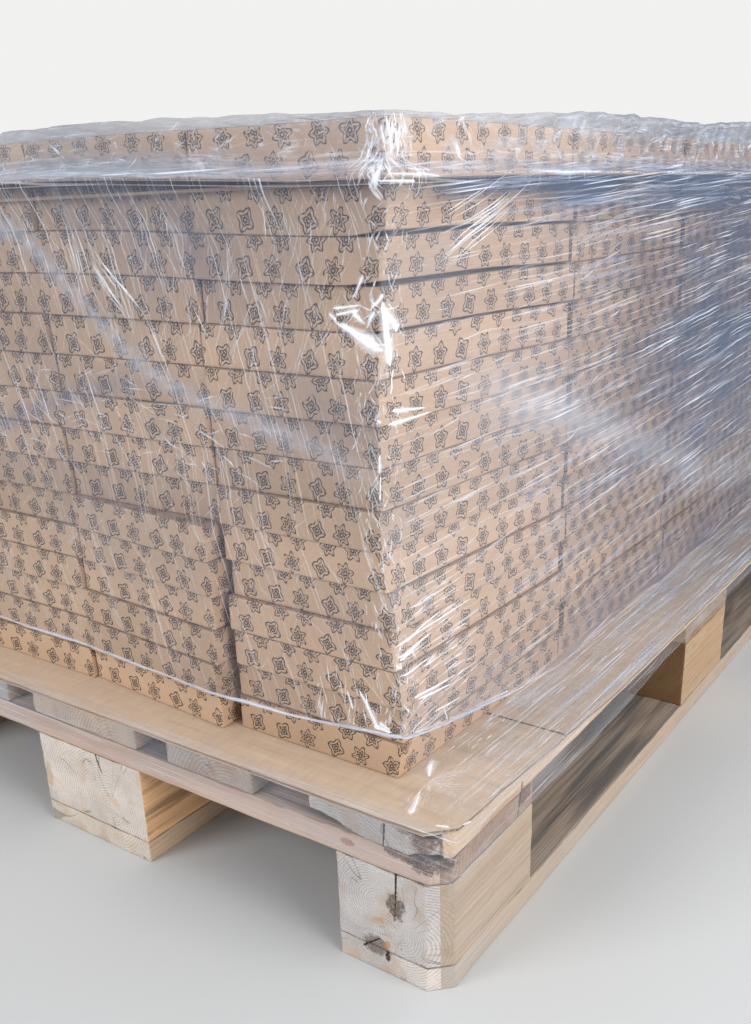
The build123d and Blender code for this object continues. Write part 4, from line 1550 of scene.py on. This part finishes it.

# Single bright folds at the near corner, painted as highlights. Each row: way round and height they run
# from and to, half width at either end, brightness
foldHighlightShards = [
    (-0.0010, 0.5948, 0.0190, 0.5936, 0.0005, 0.0009, 0.50),
    (-0.0040, 0.5908, 0.0110, 0.5902, 0.0005, 0.0010, 0.80),
    (0.0120, 0.5950, 0.0410, 0.5928, 0.0010, 0.0005, 0.50),
    (0.0060, 0.5978, 0.0340, 0.5968, 0.0008, 0.0005, 0.45),
    (0.0100, 0.6060, 0.0020, 0.6290, 0.0004, 0.0016, 0.8),
    (0.0005, 0.6000, -0.0060, 0.6240, 0.0003, 0.0012, 0.8),
    (0.0170, 0.6040, 0.0090, 0.6260, 0.0003, 0.0010, 0.7),
    (-0.0200, 0.5990, -0.0110, 0.6190, 0.0003, 0.0010, 0.7),
    (-0.0412, 0.5032, 0.0017, 0.4851, 0.0005, 0.0049, 1.0),
    (-0.035, 0.5021, -0.0031, 0.489, 0.0005, 0.0040, 1.0),
    (-0.0001, 0.517, 0.0078, 0.4739, 0.0018, 0.0038, 1.0),
    (-0.0047, 0.5108, -0.0118, 0.4993, 0.0018, 0.0007, 1.0),
    (0.0007, 0.5124, 0.0151, 0.4965, 0.0014, 0.0034, 1.0),
    (-0.0142, 0.5148, -0.0416, 0.5117, 0.0003, 0.0012, 1.0),
    (-0.019, 0.5113, -0.0392, 0.5075, 0.0014, 0.0008, 1.0),
    (-0.0454, 0.5085, -0.0381, 0.5038, 0.0008, 0.0016, 1.0),
    (-0.013, 0.5019, -0.0232, 0.5097, 0.0005, 0.0021, 1.0),
    (-0.0225, 0.5187, -0.0155, 0.5338, 0.0003, 0.0018, 1.0),
    (-0.0243, 0.5186, -0.0195, 0.5261, 0.0003, 0.0007, 1.0),
    (0.0117, 0.4716, 0.0092, 0.4535, 0.0009, 0.0005, 1.0),
    (0.0012, 0.4351, -0.0025, 0.4372, 0.0005, 0.0018, 1.0),
    (-0.0077, 0.5108, 0.0011, 0.5221, 0.0003, 0.0013, 1.0),
    (0.0634, 0.2759, 0.0001, 0.265, 0.0003, 0.0010, 1.0),
    (0.047, 0.2622, 0.0015, 0.2567, 0.0004, 0.0013, 1.0),
    (0.0307, 0.2595, 0.0026, 0.2543, 0.0004, 0.0013, 1.0),
    (0.0039, 0.2486, -0.0011, 0.2499, 0.0008, 0.0021, 1.0),
    (0.0508, 0.2424, -0.0001, 0.2418, 0.0003, 0.0008, 1.0),
    (0.066, 0.2142, 0.013, 0.2189, 0.0004, 0.0012, 1.0),
    (0.0685, 0.2091, 0.0194, 0.2151, 0.0004, 0.0010, 1.0),
    (0.0838, 0.1901, 0.0427, 0.1941, 0.0003, 0.0007, 1.0),
    (0.1079, 0.2712, 0.0054, 0.2672, 0.0003, 0.0007, 1.0),
    (-0.0379, 0.2236, -0.0223, 0.1942, 0.0008, 0.0025, 1.0),
    (-0.0492, 0.2209, -0.0456, 0.205, 0.0005, 0.0012, 1.0),
    (-0.0092, 0.1934, -0.026, 0.1949, 0.0007, 0.0040, 1.0),
    (-0.0104, 0.1953, -0.0203, 0.1993, 0.0005, 0.0025, 1.0),
    (-0.0317, 0.223, -0.0314, 0.2076, 0.0003, 0.0008, 1.0),
    (0.1093, 0.1652, 0.0636, 0.1712, 0.0012, 0.0033, 1.0),
    (0.1647, 0.1629, 0.1028, 0.1669, 0.0009, 0.0022, 1.0),
    (0.0635, 0.1719, 0.0097, 0.189, 0.0027, 0.0012, 1.0),
    (0.0701, 0.1681, 0.0663, 0.1574, 0.0008, 0.0018, 1.0),
    (0.0898, 0.1589, 0.0591, 0.1647, 0.0005, 0.0013, 1.0),
    (0.0626, 0.1767, 0.056, 0.1928, 0.0007, 0.0003, 1.0),
    (-0.0007, 0.4133, -0.001, 0.3986, 0.0005, 0.0014, 1.0),
    (-0.0003, 0.3975, -0.0011, 0.379, 0.0003, 0.0008, 1.0),
    (0.0598, 0.4336, 0.0069, 0.4327, 0.0003, 0.0016, 1.0),
    (0.0519, 0.4378, 0.0099, 0.4421, 0.0003, 0.0018, 1.0),
]

# The same on the slip sheet, in X and Y: the bright drop below the carton and glints at the corner, all
# painted highlights
cornerHighlightShards = [
    (-0.5385, -0.3498, -0.5150, -0.3360, 0.0003, 0.0052, 1.0),
    (-0.5590, -0.3545, -0.5905, -0.3655, 0.0012, 0.0034, 0.42),
    (-0.5640, -0.3570, -0.5900, -0.3668, 0.0006, 0.0013, 0.60),
    (-0.5930, -0.3890, -0.5890, -0.3990, 0.0008, 0.0012, 0.8),
    (-0.5820, -0.4060, -0.5740, -0.4085, 0.0006, 0.0010, 0.8),
]

stripLook = {
    "parts": 8,  # faces along each strip
    "outside": 0.0005,  # how far the strips stand off the film
    "sheetTop": 0.1512,
    "narrow": 0.9,  # half width of a random strip as a share of its row's
    "crown": 0.3111,  # height of a strip's middle as a share of its half width
    "shardCrown": 0.35,
    "shardRim": 0.75,
    "point": 0.12,  # share of a single fold that narrows to its end
    "twin": (1, 1, 1, 1, 2.6, 2.4, 0.34),  # a fold's faint twin: its row times these
}

stripWay = np.linspace(0, 1, stripLook["parts"] + 1)
stripAcross = np.array([-1.0, 0.0, 1.0])
stripRoof = 1 - np.abs(stripAcross)


def stripField(middle, half, forward, crown, roof, fade, blue):
    # Flat strips as columns, one row for each point: its two surface coordinates, height, brightness,
    # share of the way in from the rim, and blueness. A strip's middle line and half width are given
    # at each step of its way
    sideways = np.stack([-forward[:, 1], forward[:, 0]], -1)
    reach = half[..., None, None] * sideways[:, None, None, :] * stripAcross[:, None]
    height = half[..., None] * crown * stripRoof
    layers = [height, fade[..., None] + 0 * height, roof + 0 * height, blue[:, None, None] + 0 * height]
    return np.concatenate([middle[:, :, None, :] + reach, np.stack(layers, -1)], -1).reshape(-1, 6)


def strokeField(group, rng):
    # Many thin strips at once: each starts at a random place, runs along its angle with a slight
    # bend, is widest at its middle and pointed at both ends
    look = stripLook
    count, ranges = group[0], np.reshape(group[1:], (7, 2))
    startS, startZ, angles, lengths, widths, shines, blues = ranges
    start = np.stack([rng.uniform(*startS, count), rng.uniform(*startZ, count)], -1)
    angle = np.radians(rng.uniform(*angles, count))
    length = lengths[0] + (lengths[1] - lengths[0]) * rng.uniform(0, 1, count) ** 1.8
    width = rng.uniform(*widths, count)
    bend = rng.normal(0, 0.035, count) * np.minimum(length, 0.06)
    shine = rng.uniform(*shines, count)
    blue = rng.uniform(*blues, count)
    turn = rng.uniform(0, tau, count)
    pace = rng.uniform(5, 16, count)
    t = stripWay
    forward = np.stack([np.cos(angle), np.sin(angle)], -1)
    sideways = np.stack([-np.sin(angle), np.cos(angle)], -1)
    along = np.outer(length, t)[..., None] * forward[:, None]
    curve = np.outer(bend, np.sin(math.pi * t))[..., None] * sideways[:, None]
    taper = np.sin(math.pi * np.clip(t, 0.02, 0.98)) ** 0.7
    ripple = 0.75 + 0.25 * np.sin(turn[:, None] + np.outer(pace, t))
    fade = np.outer(shine, taper) * ripple
    half = look["narrow"] * np.outer(width, taper)
    return stripField(start[:, None] + along + curve, half, forward, look["crown"], stripRoof, fade, blue)


def shardField(shards):
    # The same for single folds: straight strips from one place to another, whose half width runs
    # from the first value to the second, pointed at both ends, each over a wide faint twin
    look = stripLook
    rows = np.array(shards)
    rows = np.concatenate([rows, rows * look["twin"]])
    t = stripWay
    start, way = rows[:, :2], rows[:, 2:4] - rows[:, :2]
    forward = way / np.linalg.norm(way, axis=1, keepdims=True)
    point = np.minimum(1, np.minimum(t, 1 - t) / look["point"] * 0.9 + 0.1)
    half = (rows[:, [4]] + (rows[:, [5]] - rows[:, [4]]) * t) * point
    middle = start[:, None] + way[:, None] * t[:, None]
    fade = rows[:, [6]] + 0 * half
    roof = look["shardRim"] * stripRoof
    return stripField(middle, half, forward, look["shardCrown"], roof, fade, np.zeros(len(rows)))


def buildPaintedHighlights(name, groups, shards, surface, seed, slotNode, low, high):
    # Places every strip of every group on a film surface, a hair outside it and between two heights; the
    # strips are painted highlights
    look = stripLook
    rng = np.random.default_rng(seed)
    fields = [strokeField(group, rng) for group in groups]
    if shards:
        fields.append(shardField(shards))
    s, z, height, fade, rim, blue = np.concatenate(fields).T
    points = surface(s, np.clip(z, low(s), high(s)), look["outside"] + height)
    index = np.arange(len(s)).reshape(-1, look["parts"] + 1, 3)
    corners = [index[:, :-1, :-1], index[:, 1:, :-1], index[:, 1:, 1:], index[:, :-1, 1:]]
    mesh = makeMesh(name, points, np.stack(corners, -1).reshape(-1, 4))
    setFields(mesh, fade=fade, rim=rim, blue=blue)
    addPiece(name, mesh, paintedFoldHighlight, "stretch_film", slotNode)


def sheetPoint(x, y, extra):
    # A place on the slip sheet, `extra` above it
    return np.column_stack([x, y, stripLook["sheetTop"] + extra])


def nearApron(a, t, extra):
    # A place on the near apron, kept between its ends
    return apronPoint(-1, np.clip(a, 0, 1), t, extra)


buildSleeve()
buildHem()
buildSkirtBand()
buildAprons()
buildPaintedHighlights(
    "wrap_sleeve_fold_highlights", foldHighlightGroups, foldHighlightShards, sleevePoint, 101, "wrap_sleeve",
    lambda s: hemHeight(s) + 0.002, lambda s: crestHeight(s) - 0.0005,
)
buildPaintedHighlights(
    "wrap_skirt_corner_highlights", cornerHighlightGroups, cornerHighlightShards, sheetPoint, 107, "wrap_skirt",
    lambda x: -0.4125, lambda x: np.where(x < filmLow[0], 0.0, -0.3380),
)
buildPaintedHighlights(
    "wrap_skirt_fold_highlights", apronHighlightGroups, [], nearApron, 103, "wrap_skirt",
    lambda a: 0.02, lambda a: 1.3,
)

print("stage: camera, floor and light")

cameraLook = {
    "place": (-1.12194, -0.72519, 0.57623),
    "azimuth": -54.23,
    "elevation": 21.36,
    "roll": -2.06,
    "focalPixels": 1004.72,
    "centre": (377.05, 599.27),
    "image": (751, 1024),
    "sensor": 36.0,
    "clip": 0.01,
}


def makeCamera():
    # The camera looks along the photograph's line: azimuth and elevation, then its roll
    look = cameraLook
    a, e, r = (math.radians(look[key]) for key in ("azimuth", "elevation", "roll"))
    back = np.array([math.sin(a) * math.cos(e), -math.cos(a) * math.cos(e), math.sin(e)])
    right = np.cross(-back, (0, 0, 1))
    right /= np.linalg.norm(right)
    up = np.cross(right, -back)
    turnedRight = math.cos(r) * right + math.sin(r) * up
    turnedUp = math.cos(r) * up - math.sin(r) * right
    data = bpy.data.cameras.new("photoView")
    camera = bpy.data.objects.new("photoView", data)
    bpy.context.scene.collection.objects.link(camera)
    width, height = look["image"]
    data.sensor_width = look["sensor"]
    data.lens = look["focalPixels"] / height * look["sensor"]
    data.shift_x = (width / 2 - look["centre"][0]) / height
    data.shift_y = (look["centre"][1] - height / 2) / height
    data.clip_start = look["clip"]
    matrix = np.eye(4)
    matrix[:3] = np.column_stack([turnedRight, turnedUp, back, look["place"]])
    camera.matrix_world = Matrix(matrix.tolist())
    bpy.context.scene.camera = camera


floorLook = {
    "size": 14.0,
    "step": 0.25,
    "tone": 0.60,
    "cloud": 0.05,
    "warmth": 0.985,
    "fadeFrom": 1.6,  # past this the camera sees the floor fade into the background
    "fadeTo": 6.5,
    "background": (0.88, 0.88, 0.87, 1),
}


def makeFloor():
    # A wide, flat, pale floor that fades into the background away from the load
    look = floorLook
    lines = np.arange(-look["size"], look["size"] + look["step"], look["step"])
    gridX, gridY = np.meshgrid(lines, lines, indexing="ij")
    points = np.stack([gridX.ravel(), gridY.ravel(), np.zeros(gridX.size)], -1)
    mesh = makeMesh("floor", points, gridQuads(np.arange(gridX.size).reshape(gridX.shape)))
    material, n, shader = newMaterial("paleFloor")
    world = n.place()
    tone = n.noise(world, 3.0, 3.0, 0.5) * look["cloud"] + look["tone"]
    n.put(shader["Base Color"], n.join(tone, tone, tone * look["warmth"]))
    n.put(shader["Roughness"], 0.8)
    away = n.step(n.length(world), look["fadeFrom"], look["fadeTo"])
    surface = material.node_tree.nodes["Material Output"].inputs["Surface"]
    plain = Wire(n, surface.links[0].from_socket)
    glow = n.make("Emission", {"Color": look["background"]})
    seen = n.make("LightPath", {}, "Is Camera Ray")
    n.put(surface, n.make("MixShader", {0: away * seen, 1: plain, 2: glow}))
    floor = bpy.data.objects.new("floor", mesh)
    bpy.context.scene.collection.objects.link(floor)
    mesh.materials.append(material)


worldLook = {
    "light": (0.80, 0.85, 0.92, 1),
    "strength": 0.46,
    "seen": (0.93, 0.93, 0.92, 1),
    "seenMore": 0.49,
}

# Lamps: name, place, target, size, power, colour
lamps = [
    ("keyWindow", (-0.70, -2.3, 1.20), (-0.45, -0.3, 0.30), (1.7, 1.8), 42, (1, 1, 1)),
    ("farGlint", (2.9, -1.7, 1.5), (0.2, -0.3, 0.4), (0.7, 0.7), 14, (0.86, 0.92, 1.0)),
    ("sideWindow", (-3.0, 1.0, 1.7), (-0.6, 0.0, 0.3), (1.4, 1.5), 45, (0.93, 0.96, 1.0)),
    ("topSoft", (0.0, 0.0, 3.6), (0.0, 0.0, 0.0), (3.0, 3.0), 30, (1, 1, 1)),
]


def makeLight():
    # A pale even sky, which the camera sees a little brighter, and soft rectangular lamps
    look = worldLook
    world = bpy.data.worlds.new("studio")
    bpy.context.scene.world = world
    world.use_nodes = True
    n = Nodes(world.node_tree)
    rays = n.add("LightPath").outputs
    straight, through = (Wire(n, rays[name]) for name in ("Is Camera Ray", "Is Transmission Ray"))
    seen = n.math("MAXIMUM", straight, through)
    sky = {
        "Color": n.mix(seen, look["light"], look["seen"]),
        "Strength": seen * look["seenMore"] + look["strength"],
    }
    n.put(n.add("OutputWorld").inputs["Surface"], n.make("Background", sky))
    for name, place, target, size, power, tint in lamps:
        data = bpy.data.lights.new(name, "AREA")
        data.shape = "RECTANGLE"
        data.size, data.size_y = size
        data.energy = power
        data.color = tint
        lamp = bpy.data.objects.new(name, data)
        lamp.location = place
        lamp.rotation_euler = (Vector(target) - Vector(place)).to_track_quat("-Z", "Y").to_euler()
        bpy.context.scene.collection.objects.link(lamp)


makeCamera()
makeFloor()
makeLight()
bpy.context.scene.view_settings.view_transform = "Standard"
